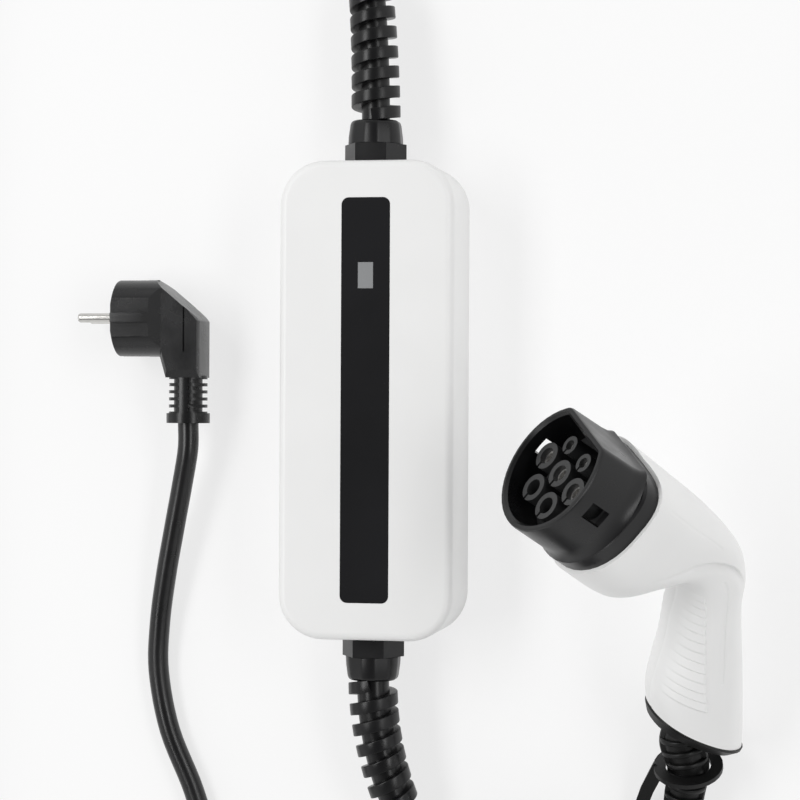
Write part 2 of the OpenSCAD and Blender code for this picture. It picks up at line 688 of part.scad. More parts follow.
// Plug body: round front with guide flats, a bevelled arm behind it and a ribbed strain relief
module plug_body() color(black) {
    r = plug_d / 2;
    flat_from = plug_round - 8;
    slot_pitch = plug_relief_len / plug_ribs;
    top_y = plug_y + r - 0.3;
    slope = [[arm_left_x - slope_run, top_y], [arm_side_x - 1.5, plug_y + 0.5]];
    arm = [[arm_left_x, top_y], slope[1], [arm_side_x, plug_y - 1.5], [arm_side_x, arm_end_y],
           [arm_left_x + 3, arm_end_y], [arm_left_x, plug_y - r]];
    middle = [plug_cord_x, plug_y];
    difference() {
        union() {
            intersection() {
                plug_axis() rotate_extrude($fn = 96) polygon([[0, 0], [r - 1.2, 0], [r - 0.4, 0.4],
                    [r, 1.2], [r, plug_round + 2], [0, plug_round + 2]]);
                translate([plug_face_x, plug_y + r + 1, plug_z]) rotate([90, 0, 0]) linear_extrude(plug_d + 2)
                    polygon([[0, -r], [flat_from, -r], [plug_round, -arm_t / 2], [plug_round + 2, -arm_t / 2],
                             [plug_round + 2, arm_t / 2], [plug_round, arm_t / 2], [flat_from, r], [0, r]]);
            }
            hull() {
                translate([0, 0, plug_z - arm_t / 2 + arm_bevel]) linear_extrude(arm_t - 2 * arm_bevel)
                    polygon(arm);
                translate([0, 0, plug_z - arm_t / 2]) linear_extrude(arm_t)
                    polygon([for (p = arm) mix(p, middle, 0.12)]);
            }
            translate([plug_cord_x, arm_end_y + 1, plug_z]) rotate([90, 0, 0])
                cylinder(d = plug_rib_d, h = plug_relief_len + plug_ring_t, $fn = 48);
            translate([plug_cord_x, relief_end_y + plug_ring_t, plug_z]) rotate([90, 0, 0])
                cylinder(d = plug_ring_d, h = plug_ring_t, $fn = 48);
        }
        // Slope from the round body down to the arm's side
        linear_extrude(2 * plug_d) polygon(concat(slope, [for (q = [1, 0]) slope[q] + [plug_d, plug_d] / 2]));
        for (side = [-1, 1]) {
            // Guide flat with its middle rib
            for (edge = [-1, 1]) translate([plug_face_x - 1,
                plug_y + edge * (r + guide_rib_w / 2) - r, plug_z + (side > 0 ? guide_z : -guide_z - r)])
                cube([guide_len + 1, plug_d, r]);
            // Recess for an earth clip
            translate([plug_face_x - 1, plug_y + side * r - clip_drop - clip_t, plug_z - clip_w / 2 - fit])
                cube([clip_len + 1 + fit, 2 * (clip_drop + clip_t), clip_w + 2 * fit]);
            // Finger pocket on the arm
            translate([arm_side_x - pocket_in, arm_end_y + 13, plug_z + side * arm_t / 2 - 1])
                cube([3.4, 24, 2]);
            // Pin root
            plug_axis(0, side * pin_pitch / 2) translate([0, 0, insert_t - eps])
                cylinder(d = pin_root_d + 0.1, h = pin_root - insert_t + eps, $fn = 48);
        }
        for (i = [0:plug_ribs - 1])
            translate([plug_cord_x, arm_end_y - slot_pitch * (i + 0.5) + 1, plug_z]) rotate([90, 0, 0])
            linear_extrude(2) difference() {
                square(2 * plug_rib_d, center = true);
                circle(d = plug_core_d, $fn = 48);
                square([spine_w, 2 * plug_rib_d], center = true);
            }
        plug_axis() translate([0, 0, -1]) cylinder(r = insert_r, h = insert_t + 1, $fn = 64);
        plug_axis(earth_y) cylinder(d = earth_bore + 2 * earth_wall, h = earth_len, $fn = 32);
    }
}

module plug_insert() color([0.12, 0.12, 0.13]) {
    difference() {
        plug_axis() cylinder(r = insert_r - 0.05, h = insert_t, $fn = 64);
        for (side = [-1, 1]) plug_axis(0, side * pin_pitch / 2) translate([0, 0, -1])
            cylinder(d = pin_root_d + 0.1, h = insert_t + 2, $fn = 32);
        plug_axis(earth_y) translate([0, 0, -1])
            cylinder(d = earth_bore + 2 * earth_wall + 0.1, h = insert_t + 2, $fn = 32);
    }
}

module plug_pins() color(metal) {
    tip = pin_d / 4;
    for (side = [-1, 1]) plug_axis(0, side * pin_pitch / 2) rotate_extrude($fn = 48)
        polygon([[0, pin_root], [pin_root_d / 2, pin_root], [pin_root_d / 2, 0], [pin_d / 2, 0],
                 [pin_d / 2, tip - pin_len],
                 [pin_d / 2 - tip * 0.35, tip * 0.35 - pin_len], [pin_d / 2 - tip, -pin_len], [0, -pin_len]]);
}

// Spring strips of the side earth contacts, bowed outward in their recesses
module plug_earth_clips() color(metal) {
    for (side = [-1, 1])
        translate([plug_face_x + 0.5, plug_y + side * (plug_d / 2 - clip_drop - clip_t / 2), plug_z])
        difference() {
            translate([0, -clip_t / 2, -clip_w / 2]) cube([clip_len - 0.5, clip_t, clip_w]);
            translate([clip_len / 2, 2, 0]) rotate([90, 0, 0]) cylinder(d = 2.4, h = 4, $fn = 32);
        }
}

module plug_earth_sleeve() color(metal) {
    plug_axis(earth_y) difference() {
        cylinder(d = earth_bore + 2 * earth_wall - 0.1, h = earth_len, $fn = 32);
        translate([0, 0, -1]) cylinder(d = earth_bore, h = earth_len, $fn = 32);
    }
}

module connector_pose() {
    translate(connector_at) rotate(connector_turn) children();
}

// One point of the handle's outer or inner surface, a in degrees from front (-90) to back (90)
function grip_point(s, a, inset, lift = 0) =
    let (v = smooth(stations, s), f = [v[0], v[1]], b = [v[2], v[3]], c = mix(f, b, v[5]),
         reach = (a < 0 ? f : b) - c, e = a < 0 ? v[6] : v[7],
         p = c + reach * (1 - inset / norm(reach)) * pow(abs(sin(a)), e))
    [(v[4] - inset + lift) * pow(max(cos(a), 0), e), p[0], p[1]];
function ridge_mask(a) = a < ridge_arc[0] || a > ridge_arc[1] ? 0 : 1;
function dent(s, a) =
    let (ds = s - thumb_at[0], da = a - thumb_at[1])
    thumb_dent * exp(-sq((ds - thumb_lean * da) / thumb_reach[0]) - sq(da / thumb_reach[1]));
function arc_place(k) = -90 + 180 * k / shell_sides;
// Half width of the handle at a share q of the way from its middle to its front or back
function half_width(s, q) = let (v = smooth(stations, s), e = q < 0 ? v[6] : v[7])
    v[4] * pow(1 - pow(abs(q), 2 / e), e / 2);
function grip_middle(s, q) =
    let (v = smooth(stations, s), f = [v[0], v[1]], b = [v[2], v[3]], c = mix(f, b, v[5]))
    c + (q < 0 ? c - f : b - c) * q;

// Rings along the handle: the smooth head first, then two for each ridge of the grip, then the end
ridge_step = (ridge_to - ridge_from) / (2 * ridges);
grip_rings = concat(
    [for (i = [0:head_rings - 1]) [ridge_from * i / head_rings, 0]],
    [for (i = [0:2 * ridges]) [ridge_from + i * ridge_step, i % 2]],
    [[last, 0]]
);

// Half of the moulded handle: a loft of half sections less the same loft inset by the wall
module half_shell() {
    outer = [for (g = grip_rings) [for (k = [shell_sides:-1:0]) let (a = arc_place(k))
        grip_point(g[0], a, 0, ridge_h * ridge_mask(a) * g[1] - dent(g[0], a))]];
    hollow = [for (i = [0:inner_rings]) hollow_ring(last * i / inner_rings)];
    before = 2 * hollow[0] - hollow_ring(0.1);
    after = 2 * hollow[inner_rings] - hollow_ring(last - 0.1);
    difference() {
        skin(outer);
        skin(concat([before], hollow, [after]));
    }
}
function hollow_ring(s) =
    let (ring = [for (k = [shell_sides:-1:0]) let (a = arc_place(k))
        grip_point(s, a, shell_wall, -dent(s, a))])
    concat([ring[0] - [1, 0, 0]], ring, [ring[shell_sides] - [1, 0, 0]]);

// A tapered screw post that stands on the inside of a shell, towards the parting plane
module screw_post(at, r) {
    p = grip_middle(at[0], at[1]);
    w = half_width(at[0], at[1]);
    translate([0, p[0], p[1]]) rotate([0, 90, 0]) hull() {
        translate([0, 0, 0.05]) cylinder(r = r, h = 0.1, $fn = 16);
        translate([0, 0, w - shell_wall]) cylinder(r = r + 0.6, h = shell_wall / 2, $fn = 16);
    }
}

// A hole along a screw, from x0 to x1
module screw_hole(at, r, x0, x1) {
    p = grip_middle(at[0], at[1]);
    translate([x0, p[0], p[1]]) rotate([0, 90, 0]) hull() {
        cylinder(r = r, h = 0.1, $fn = 16);
        translate([0, 0, x1 - x0 - 0.1]) cylinder(r = r, h = 0.1, $fn = 16);
    }
}

module handle_right_shell() color(white) connector_pose() difference() {
    union() {
        half_shell();
        for (at = handle_screws_at) screw_post(at, handle_screw_d / 2 + 2);
    }
    for (at = handle_screws_at)
        screw_hole(at, handle_screw_d / 2 - fit, -1, handle_screw_bite + handle_screw_d / 2);
}

module handle_left_shell() color(white) connector_pose() mirror([1, 0, 0]) difference() {
    union() {
        half_shell();
        for (at = handle_screws_at) screw_post(at, handle_screw_d + 2);
    }
    for (at = handle_screws_at) let (w = half_width(at[0], at[1])) {
        screw_hole(at, handle_screw_d / 2 + fit, -1, w);
        screw_hole(at, handle_screw_d + fit, w - handle_screw_sink, w + handle_screw_sink);
    }
}

module handle_screws() color(metal) connector_pose() {
    for (at = handle_screws_at) {
        p = grip_middle(at[0], at[1]);
        w = half_width(at[0], at[1]);
        translate([handle_screw_sink - w, p[0], p[1]]) rotate([0, 90, 0]) {
            cylinder(d = handle_screw_d - 0.5, h = w - handle_screw_sink + handle_screw_bite, $fn = 32);
            difference() {
                translate([0, 0, -handle_screw_head])
                    cylinder(r = handle_screw_d, h = handle_screw_head, $fn = 32);
                translate([0, 0, -1.5 * handle_screw_head])
                    cylinder(d = handle_screw_d * 0.8, h = handle_screw_head, $fn = 6);
            }
        }
    }
}

// One slice of the nose or the flange at depth z, grown by g
module nose_slice(z, g) {
    translate([0, 0, z]) linear_extrude(slice) nose_outline(nose_r + g, nose_flat + g, nose_corner + g, 48);
}
module flange_slice(z, inset) {
    half = [for (k = [0:2 * shell_sides]) grip_point(0, -90 + 90 * k / shell_sides, inset)];
    translate([0, 0, z]) linear_extrude(slice) polygon(concat([for (p = half) [p[0], p[1]]],
        [for (k = [2 * shell_sides - 1:-1:1]) [-half[k][0], half[k][1]]]));
}

// Nose of the connector: a tube with one flat side, rounded rim, swept foot and a flange
module connector_nose() color(black) connector_pose() {
    rim = [[0, -1.3], [-0.5, -0.4], [-1.6, 0], [-nose_len + 7, 0.3], [-nose_len + 2.5, 0.8], [-nose_len, 2]];
    border = [[-nose_len, flange_step + 1], [-nose_len - 1, flange_step]];
    window_w = lock_window[0];
    window_len = lock_window[1];
    difference() {
        union() {
            for (i = [0:len(rim) - 2]) hull() {
                nose_slice(rim[i][0], rim[i][1]);
                nose_slice(rim[i + 1][0], rim[i + 1][1]);
            }
            hull() {
                flange_slice(border[0][0], border[0][1]);
                flange_slice(border[1][0], border[1][1]);
                flange_slice(flange_back, flange_step);
            }
            hull() {
                nose_slice(-nose_len - 1, -spigot_in);
                nose_slice(flange_back - spigot_len, -spigot_in);
            }
        }
        hull() {
            nose_slice(0.1, -nose_wall + 1.2);
            nose_slice(-1.2, -nose_wall);
        }
        hull() {
            nose_slice(-1.1, -nose_wall);
            nose_slice(-mouth_depth, -nose_wall);
        }
        hull() {
            nose_slice(-mouth_depth + 1, -nose_wall - 4);
            nose_slice(flange_back - 30, -nose_wall - 4);
        }
        translate([-nose_d, -window_w / 2, lock_window_z - window_len / 2])
            cube([2 * nose_d, window_w, window_len]);
    }
}

// Contact block: a plate in the nose with one tower for each contact
module contact_block() color(grey) connector_pose() {
    inner = nose_wall + fit;
    foot = -mouth_depth;
    top = foot + plate_t;
    tower_h = -tower_drop - top;
    power_d = power_bore + 2 * contact_wall + 0.1;
    signal_d = signal_bore + 2 * contact_wall + 0.1;
    difference() {
        union() {
            translate([0, 0, foot]) linear_extrude(plate_t)
                nose_outline(nose_r - inner, nose_flat - inner, nose_corner - 1, 96);
            for (p = concat(power_at, spare_at)) translate([p[0], p[1], top - 1])
                cylinder(d = tower_d, h = tower_h + 1, $fn = 48);
            for (p = signal_at) translate([p[0], p[1], top - 1])
                cylinder(d = small_tower_d, h = tower_h + 1, $fn = 48);
        }
        for (p = power_at) translate([p[0], p[1], foot - 1])
            cylinder(d = power_d, h = mouth_depth + 2, $fn = 48);
        for (p = spare_at) translate([p[0], p[1], top])
            cylinder(d = power_d, h = mouth_depth, $fn = 48);
        for (p = signal_at) translate([p[0], p[1], foot - 1])
            cylinder(d = signal_d, h = mouth_depth + 2, $fn = 48);
        for (p = concat(power_at, spare_at)) translate([p[0] - 0.7, p[1] - tower_d, -tower_drop - 2.5])
            cube([1.4, tower_d, 4]);
        for (p = signal_at) translate([p[0] - 0.6, p[1] - small_tower_d, -tower_drop - 2.5])
            cube([1.2, small_tower_d, 4]);
    }
}

// A socket contact: a tube with a closed tail
module socket_contact(bore) {
    front = -tower_drop - contact_drop;
    tail = -mouth_depth - 10;
    difference() {
        translate([0, 0, tail]) cylinder(d = bore + 2 * contact_wall, h = front - tail, $fn = 48);
        translate([0, 0, -mouth_depth]) cylinder(d = bore, h = mouth_depth, $fn = 48);
    }
}

module power_contacts() color(metal) connector_pose() {
    for (p = power_at) translate([p[0], p[1], 0]) socket_contact(power_bore);
}

module signal_contacts() color(metal) connector_pose() {
    for (p = signal_at) translate([p[0], p[1], 0]) socket_contact(signal_bore);
}

// Frame of a section of the handle: X across, Y from front to back, Z towards the nose
module at_section(s) {
    v = smooth(stations, s);
    c = mix([v[0], v[1]], [v[2], v[3]], v[5]);
    translate([0, c[0], c[1]]) rotate([atan2(v[3] - v[1], v[2] - v[0]), 0, 0]) children();
}
module section_outline(s, inset) {
    v = smooth(stations, s);
    reach = norm([v[2] - v[0], v[3] - v[1]]) / 2 - inset;
    polygon([for (a = [0:10:350]) [(v[4] - inset) * sign(cos(a)) * pow(abs(cos(a)), v[6]),
                                   reach * sign(sin(a)) * pow(abs(sin(a)), v[6])]]);
}

// Clamp ring round the root of the strain relief, inside the grip
module cable_clamp() color(grey) connector_pose() at_section(last) translate([0, 0, clamp_in]) difference() {
    union() {
        cylinder(d = relief_root_d + 8, h = clamp_t, $fn = 48);
        translate([-clamp_ear, -4, 0]) cube([2 * clamp_ear, 8, clamp_t]);
    }
    translate([0, 0, -1]) cylinder(d = relief_root_d + fit, h = clamp_t + 2, $fn = 48);
    for (side = [-1, 1]) translate([side * (clamp_ear - 2.6), 5, clamp_t / 2]) rotate([90, 0, 0])
        cylinder(d = 2.6, h = 10, $fn = 24);
}

module end_collar() color(black) connector_pose() at_section(last) difference() {
    hull() {
        translate([0, 0, -1.5]) linear_extrude(1.5) section_outline(last, 0.3);
        translate([0, 0, -collar_t]) linear_extrude(eps) section_outline(last, 3.5);
    }
    translate([0, 0, -collar_t - 1]) cylinder(d = relief_root_d + fit, h = collar_t + 2, $fn = 48);
}

// Way of the strain relief: from the clamp through the collar and down to the bench
function section_place(s, z) =
    let (v = smooth(stations, s), c = mix([v[0], v[1]], [v[2], v[3]], v[5]),
         turn = atan2(v[3] - v[1], v[2] - v[0]))
    on_bench([0, c[0] - z * sin(turn), c[1] + z * cos(turn)]);
relief_axis = concat([section_place(last, -collar_t - relief_gap), section_place(last, -collar_t - 7)],
                     relief_way);
function relief_r(u) = mix(relief_d, relief_tip_d, u / (len(relief_axis) - 1)) / 2;
function relief_dir(u) = unit(smooth(relief_axis, min(u + 0.05, len(relief_axis) - 1))
                              - smooth(relief_axis, max(u - 0.05, 0)));

// Strain relief of the handle: a tapered rubber boot with rings, joined by a spine along each side
function boot_ring(p, t, r, groove) =
    let (e2 = flat_side(t), e1 = cross(e2, t))
    [for (k = [0:boot_sides - 1]) let (a = 360 * k / boot_sides, depth = abs(sin(a)) > 0.95 ? 0 : groove)
        p + (r - depth) * (cos(a) * e1 + sin(a) * e2)];
function boot_rib(u) =
    let (p = smooth(relief_axis, u), t = relief_dir(u), r = relief_r(u), edge = relief_rib_t / 2 + 0.4)
    [boot_ring(p - t * edge, t, r, relief_groove), boot_ring(p - t * relief_rib_t / 2, t, r, 0),
     boot_ring(p + t * relief_rib_t / 2, t, r, 0), boot_ring(p + t * edge, t, r, relief_groove)];
module connector_relief() color(black) {
    span = len(relief_axis) - 1;
    away = unit(section_place(last, 0) - section_place(last, 1));
    root_r = relief_root_d / 2 - fit;
    ribs = [for (i = [0:relief_ribs - 1]) boot_rib(1 + (span - 1) * (i + 0.1) / (relief_ribs - 0.5))];
    skin(concat(
        [boot_ring(section_place(last, clamp_in + clamp_t + 2), away, root_r, 0),
         boot_ring(relief_axis[0] - away * 0.1, away, root_r, 0),
         boot_ring(relief_axis[0], away, relief_r(0) - relief_groove, 0)],
        [for (rib = ribs, ring = rib) ring],
        [boot_ring(relief_axis[span], relief_dir(span), relief_r(span), relief_groove)]
    ));
}

// Dust cap: an open cup of the nose's outline, lying on its closed side, with a tab for the tether
module dust_cap() color(black) translate([cap_at[0], cap_at[1], 0]) {
    grow = cap_gap + cap_wall;
    tab_x = nose_r + grow + cap_tab_r;
    difference() {
        linear_extrude(cap_floor + cap_depth)
            nose_outline(nose_r + grow, nose_flat + grow, nose_corner + grow, 96);
        translate([0, 0, cap_floor]) linear_extrude(cap_depth + 1)
            nose_outline(nose_r + cap_gap, nose_flat + cap_gap, nose_corner + cap_gap, 96);
    }
    rotate([0, 0, cap_tab_turn]) {
        translate([nose_r + grow - 1.5, -cap_tab_r, 0]) cube([cap_tab_r + 1.5, 2 * cap_tab_r, cap_floor]);
        translate([tab_x, 0, 0]) {
            cylinder(r = cap_tab_r, h = cap_floor, $fn = 32);
            cylinder(r = cap_post_r, h = cap_floor + strap_t + 2, $fn = 32);
            translate([0, 0, cap_floor + strap_t + 2 * strap_lift])
                cylinder(r = cap_post_r + 0.8, h = 1.6, $fn = 32);
        }
    }
}

// Tether: a ring round the strain relief, a flat strap and an eye on the cap's post
cap_post = let (reach = nose_r + cap_gap + cap_wall + cap_tab_r)
    [cap_at[0] + reach * cos(cap_tab_turn), cap_at[1] + reach * sin(cap_tab_turn),
     cap_floor + strap_lift + strap_t / 2];
module tether_strap() color(black) {
    p = smooth(relief_axis, tether_at);
    dir = relief_dir(tether_at);
    hole_r = relief_r(tether_at) + fit;
    from = p + flat_side(dir) * (hole_r + tether_wall / 2);
    to = cap_post + [0.8, 1.9, 0] * cap_post_r;
    way = [from, mix(from, to, 0.47) - [0, 0, tether_sag], mix(from, to, 0.77) - [0, 0, tether_sag], to];
    steps = 9;
    difference() {
        union() {
            across(p, dir, hole_r + tether_wall, strap_t, 28);
            for (i = [0:steps - 1]) hull() for (u = [i, i + 1] * (len(way) - 1) / steps)
                translate(smooth(way, u)) rotate([0, 0, -30])
                    cube([strap_w, 1, strap_t], center = true);
            translate(cap_post) cylinder(r = cap_post_r + 3, h = strap_t, center = true, $fn = 24);
        }
        across(p, dir, hole_r, 3 * strap_t, 28);
        translate(cap_post) cylinder(r = cap_post_r + fit, h = 4 * strap_t, center = true, $fn = 24);
    }
}

module mains_lead() color(black) cord(mains_way, mains_d);

module vehicle_lead_box_end() color(black) cord(box_end_way, ev_d);

module vehicle_lead_handle_end() color(black) cord(handle_end_way, ev_d);

module vehicle_lead_coil() color(black) translate([coil_at[0], coil_at[1], coil_lift + bundle / 2])
    rotate_extrude($fn = 96) translate([coil_r, 0]) rounded_rect(bundle, bundle, ev_d / 2);

module coil_ties() color(grey) translate([coil_at[0], coil_at[1], coil_lift + bundle / 2]) {
    arc = tie_w / coil_r * 180 / PI;
    inner = bundle + 2 * tie_gap;
    outer = inner + 2 * tie_t;
    for (turn = tie_turns) rotate([0, 0, turn]) rotate_extrude(angle = arc, $fn = 96)
        translate([coil_r, 0]) difference() {
            rounded_rect(outer, outer, ev_d / 2 + tie_gap + tie_t);
            rounded_rect(inner, inner, ev_d / 2 + tie_gap);
        }
}

rear_cover();
front_cover();
box_seal();
case_screws();
front_panel();
display_window();
display_module();
control_board();
board_screws();
relays();
leakage_sensor();
supply_transformer();
capacitors();
mains_terminal();
output_terminal();
top_gland_body();
top_gland_lock_nut();
top_gland_seal();
top_gland_spiral();
bottom_gland_body();
bottom_gland_lock_nut();
bottom_gland_seal();
bottom_gland_spiral();
plug_body();
plug_insert();
plug_pins();
plug_earth_clips();
plug_earth_sleeve();
connector_nose();
contact_block();
power_contacts();
signal_contacts();
handle_right_shell();
handle_left_shell();
handle_screws();
cable_clamp();
end_collar();
connector_relief();
tether_strap();
dust_cap();
mains_lead();
vehicle_lead_box_end();
vehicle_lead_handle_end();
vehicle_lead_coil();
coil_ties();
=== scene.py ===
import bpy
import bmesh
import math
from mathutils import Matrix, Vector


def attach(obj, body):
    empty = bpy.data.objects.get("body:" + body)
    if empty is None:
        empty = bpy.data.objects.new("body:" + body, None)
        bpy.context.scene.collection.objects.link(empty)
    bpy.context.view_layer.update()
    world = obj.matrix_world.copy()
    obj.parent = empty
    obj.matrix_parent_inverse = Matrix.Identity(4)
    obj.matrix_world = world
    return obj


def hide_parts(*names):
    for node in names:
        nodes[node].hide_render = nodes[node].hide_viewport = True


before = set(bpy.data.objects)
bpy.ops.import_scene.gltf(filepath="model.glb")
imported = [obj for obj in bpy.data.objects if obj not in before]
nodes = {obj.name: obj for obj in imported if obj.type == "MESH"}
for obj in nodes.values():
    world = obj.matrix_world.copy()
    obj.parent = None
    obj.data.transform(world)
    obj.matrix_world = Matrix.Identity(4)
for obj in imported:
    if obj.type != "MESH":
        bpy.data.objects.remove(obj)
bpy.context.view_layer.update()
scene = bpy.context.scene
scene.view_settings.view_transform = "Standard"
mm = 0.001
print("frame loaded:", len(nodes), "nodes")

# Camera at the photograph's place, a little to the right of straight above
cameraView = {"tilt": 10.4, "roll": 0.29, "distance": 1.2, "lens": 110.7, "target": (0.0169, 0.0002, 0.0469)}


def addCamera(view):
    tilt, roll = math.radians(view["tilt"]), math.radians(view["roll"])
    look = Vector((-math.sin(tilt), 0, -math.cos(tilt)))
    flat, up = Vector((math.cos(tilt), 0, -math.sin(tilt))), Vector((0, 1, 0))
    right = flat * math.cos(roll) + up * math.sin(roll)
    top = up * math.cos(roll) - flat * math.sin(roll)
    data = bpy.data.cameras.new("photoCamera")
    data.lens = view["lens"]
    data.sensor_width = 36
    camera = bpy.data.objects.new("photoCamera", data)
    place = Matrix((right, top, -look)).transposed().to_4x4()
    place.translation = Vector(view["target"]) - look * view["distance"]
    camera.matrix_world = place
    scene.collection.objects.link(camera)
    scene.camera = camera


addCamera(cameraView)
print("camera placed")


# Small helpers for curves and meshes
def smoothAt(points, u):  # Catmull-Rom through a list of vectors, u counts the points
    i = min(int(math.floor(u)), len(points) - 2)
    t = u - i
    a, b = points[max(i - 1, 0)], points[i]
    c, d = points[i + 1], points[min(i + 2, len(points) - 1)]
    return [(2 * q + (r - p) * t + (2 * p - 5 * q + 4 * r - s) * t ** 2 + (3 * q - p - 3 * r + s) * t ** 3) / 2
            for p, q, r, s in zip(a, b, c, d)]


def smoothRoute(points, steps):
    count = (len(points) - 1) * steps
    return [Vector(smoothAt(points, i / steps)) for i in range(count)] + [Vector(points[-1])]


def routeLength(points):
    return sum((b - a).length for a, b in zip(points, points[1:]))


def ease(value, start, end):  # smooth step from 0 to 1
    t = min(max((value - start) / (end - start), 0), 1)
    return t * t * (3 - 2 * t)


def newPiece(name, mesh, material, replaced=()):
    piece = bpy.data.objects.new(name, mesh)
    scene.collection.objects.link(piece)
    if material:
        mesh.materials.clear()
        mesh.materials.append(material)
    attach(piece, "root")
    if replaced:
        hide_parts(*replaced)
    return piece


def meshFrom(name, verts, faces, sharpAngle):
    mesh = bpy.data.meshes.new(name)
    bm = bmesh.new()
    made = [bm.verts.new(v) for v in verts]
    for face in faces:
        bm.faces.new([made[i] for i in face])
    bmesh.ops.recalc_face_normals(bm, faces=bm.faces)
    softShade(bm, sharpAngle)
    bm.to_mesh(mesh)
    bm.free()
    return mesh


def softShade(bm, degrees):  # smooth faces, edges over this angle stay sharp
    for face in bm.faces:
        face.smooth = True
    limit = math.radians(degrees)
    for edge in bm.edges:
        if len(edge.link_faces) == 2:
            edge.smooth = edge.calc_face_angle() < limit


def gridFaces(rows, columns, closed):  # quads over rows of points, columns joined into a ring if closed
    faces = []
    for i in range(rows - 1):
        for k in range(columns if closed else columns - 1):
            n = (k + 1) % columns
            faces.append((i * columns + k, i * columns + n, (i + 1) * columns + n, (i + 1) * columns + k))
    return faces


# Node helpers for the materials
def nodeMaterial(name):
    material = bpy.data.materials.new(name)
    material.use_nodes = True
    tree = material.node_tree
    shader = tree.nodes["Principled BSDF"]
    place = tree.nodes.new("ShaderNodeTexCoord")
    return material, tree, shader, place.outputs["Object"]


def addNoise(tree, place, scale, detail=2.0, stretch=None):
    noise = tree.nodes.new("ShaderNodeTexNoise")
    noise.inputs["Scale"].default_value = scale
    noise.inputs["Detail"].default_value = detail
    if stretch:
        mapping = tree.nodes.new("ShaderNodeMapping")
        mapping.inputs["Scale"].default_value = stretch
        tree.links.new(place, mapping.inputs["Vector"])
        place = mapping.outputs["Vector"]
    tree.links.new(place, noise.inputs["Vector"])
    return noise.outputs["Fac"]


def addRamp(tree, value, low, high, start=0.35, end=0.65):
    ramp = tree.nodes.new("ShaderNodeValToRGB")
    ramp.color_ramp.elements[0].position = start
    ramp.color_ramp.elements[1].position = end
    ramp.color_ramp.elements[0].color = low
    ramp.color_ramp.elements[1].color = high
    tree.links.new(value, ramp.inputs["Fac"])
    return ramp.outputs["Color"]


noiseSpan = (0.3, 0.7)  # most noise values lie in here


def addRange(tree, value, low, high):
    spread = tree.nodes.new("ShaderNodeMapRange")
    limits = {"From Min": noiseSpan[0], "From Max": noiseSpan[1], "To Min": low, "To Max": high}
    for key, limit in limits.items():
        spread.inputs[key].default_value = limit
    tree.links.new(value, spread.inputs["Value"])
    return spread.outputs["Result"]


def addBump(tree, shader, heights):  # heights: (value, distance in metres, strength)
    normal = None
    for value, distance, strength in heights:
        bump = tree.nodes.new("ShaderNodeBump")
        bump.inputs["Distance"].default_value = distance
        bump.inputs["Strength"].default_value = strength
        tree.links.new(value, bump.inputs["Height"])
        if normal:
            tree.links.new(normal, bump.inputs["Normal"])
        normal = bump.outputs["Normal"]
    tree.links.new(normal, shader.inputs["Normal"])


def shade(color, factor):
    return tuple(min(c * factor, 1) for c in color[:3]) + (1,)


mouldedUsual = {"driftScale": 14, "glossScale": 60, "waveScale": 45, "waveDepth": 0.0001, "waveStrength": 0.25,
                "ior": 1.5}


def mouldedMaterial(name, changes):  # plastic or rubber: colour drift, uneven gloss, fine grain, slow waviness
    look = {**mouldedUsual, **changes}
    material, tree, shader, place = nodeMaterial(name)
    drift = addNoise(tree, place, look["driftScale"], 3)
    color = addRamp(tree, drift, shade(look["color"], 1 - look["drift"]), shade(look["color"], 1 + look["drift"]))
    tree.links.new(color, shader.inputs["Base Color"])
    gloss = addNoise(tree, place, look["glossScale"], 4)
    rough = addRange(tree, gloss, look["rough"] - look["uneven"], look["rough"] + look["uneven"])
    tree.links.new(rough, shader.inputs["Roughness"])
    grain = addNoise(tree, place, look["grainScale"], 2)
    wave = addNoise(tree, place, look["waveScale"], 1)
    addBump(tree, shader, [(wave, look["waveDepth"], look["waveStrength"]),
                           (grain, look["grainDepth"], look["grainStrength"])])
    shader.inputs["IOR"].default_value = look["ior"]
    if "coat" in look:
        shader.inputs["Coat Weight"].default_value = look["coat"]
        shader.inputs["Coat Roughness"].default_value = look["coatRough"]
    return material


metalUsual = {"cloudScale": 90, "cloud": (0.93, 1.04), "glossSpread": (0.75, 1.3), "lineDepth": 0.00002,
              "lineStrength": 0.3}


def metalMaterial(name, changes):  # plated metal with fine turning or drawing lines
    look = {**metalUsual, **changes}
    material, tree, shader, place = nodeMaterial(name)
    lines = addNoise(tree, place, look["lineScale"], 3, look["lineStretch"])
    cloud = addNoise(tree, place, look["cloudScale"], 3)
    color = addRamp(tree, cloud, *[shade(look["color"], share) for share in look["cloud"]])
    tree.links.new(color, shader.inputs["Base Color"])
    rough = addRange(tree, lines, *[look["rough"] * share for share in look["glossSpread"]])
    tree.links.new(rough, shader.inputs["Roughness"])
    shader.inputs["Metallic"].default_value = 1
    addBump(tree, shader, [(lines, look["lineDepth"], look["lineStrength"])])
    return material


def clothMaterial(name, look):  # hook-and-loop cloth: two crossing sets of threads
    material, tree, shader, place = nodeMaterial(name)
    both = tree.nodes.new("ShaderNodeMath")
    both.operation = "MULTIPLY"
    for number, axis in enumerate(("X", "Z")):
        wave = tree.nodes.new("ShaderNodeTexWave")
        wave.bands_direction = axis
        wave.inputs["Scale"].default_value = look["threadScale"]
        wave.inputs["Distortion"].default_value = look["waver"]
        tree.links.new(place, wave.inputs["Vector"])
        tree.links.new(wave.outputs["Fac"], both.inputs[number])
    fuzz = addNoise(tree, place, look["fuzzScale"], 3)
    color = addRamp(tree, fuzz, *[shade(look["color"], share) for share in look["fuzz"]])
    tree.links.new(color, shader.inputs["Base Color"])
    shader.inputs["Roughness"].default_value = look["rough"]
    shader.inputs["Sheen Weight"].default_value = look["sheen"]
    addBump(tree, shader, [(both.outputs[0], look["threadDepth"], look["relief"]),
                           (fuzz, look["fuzzDepth"], look["relief"])])
    return material


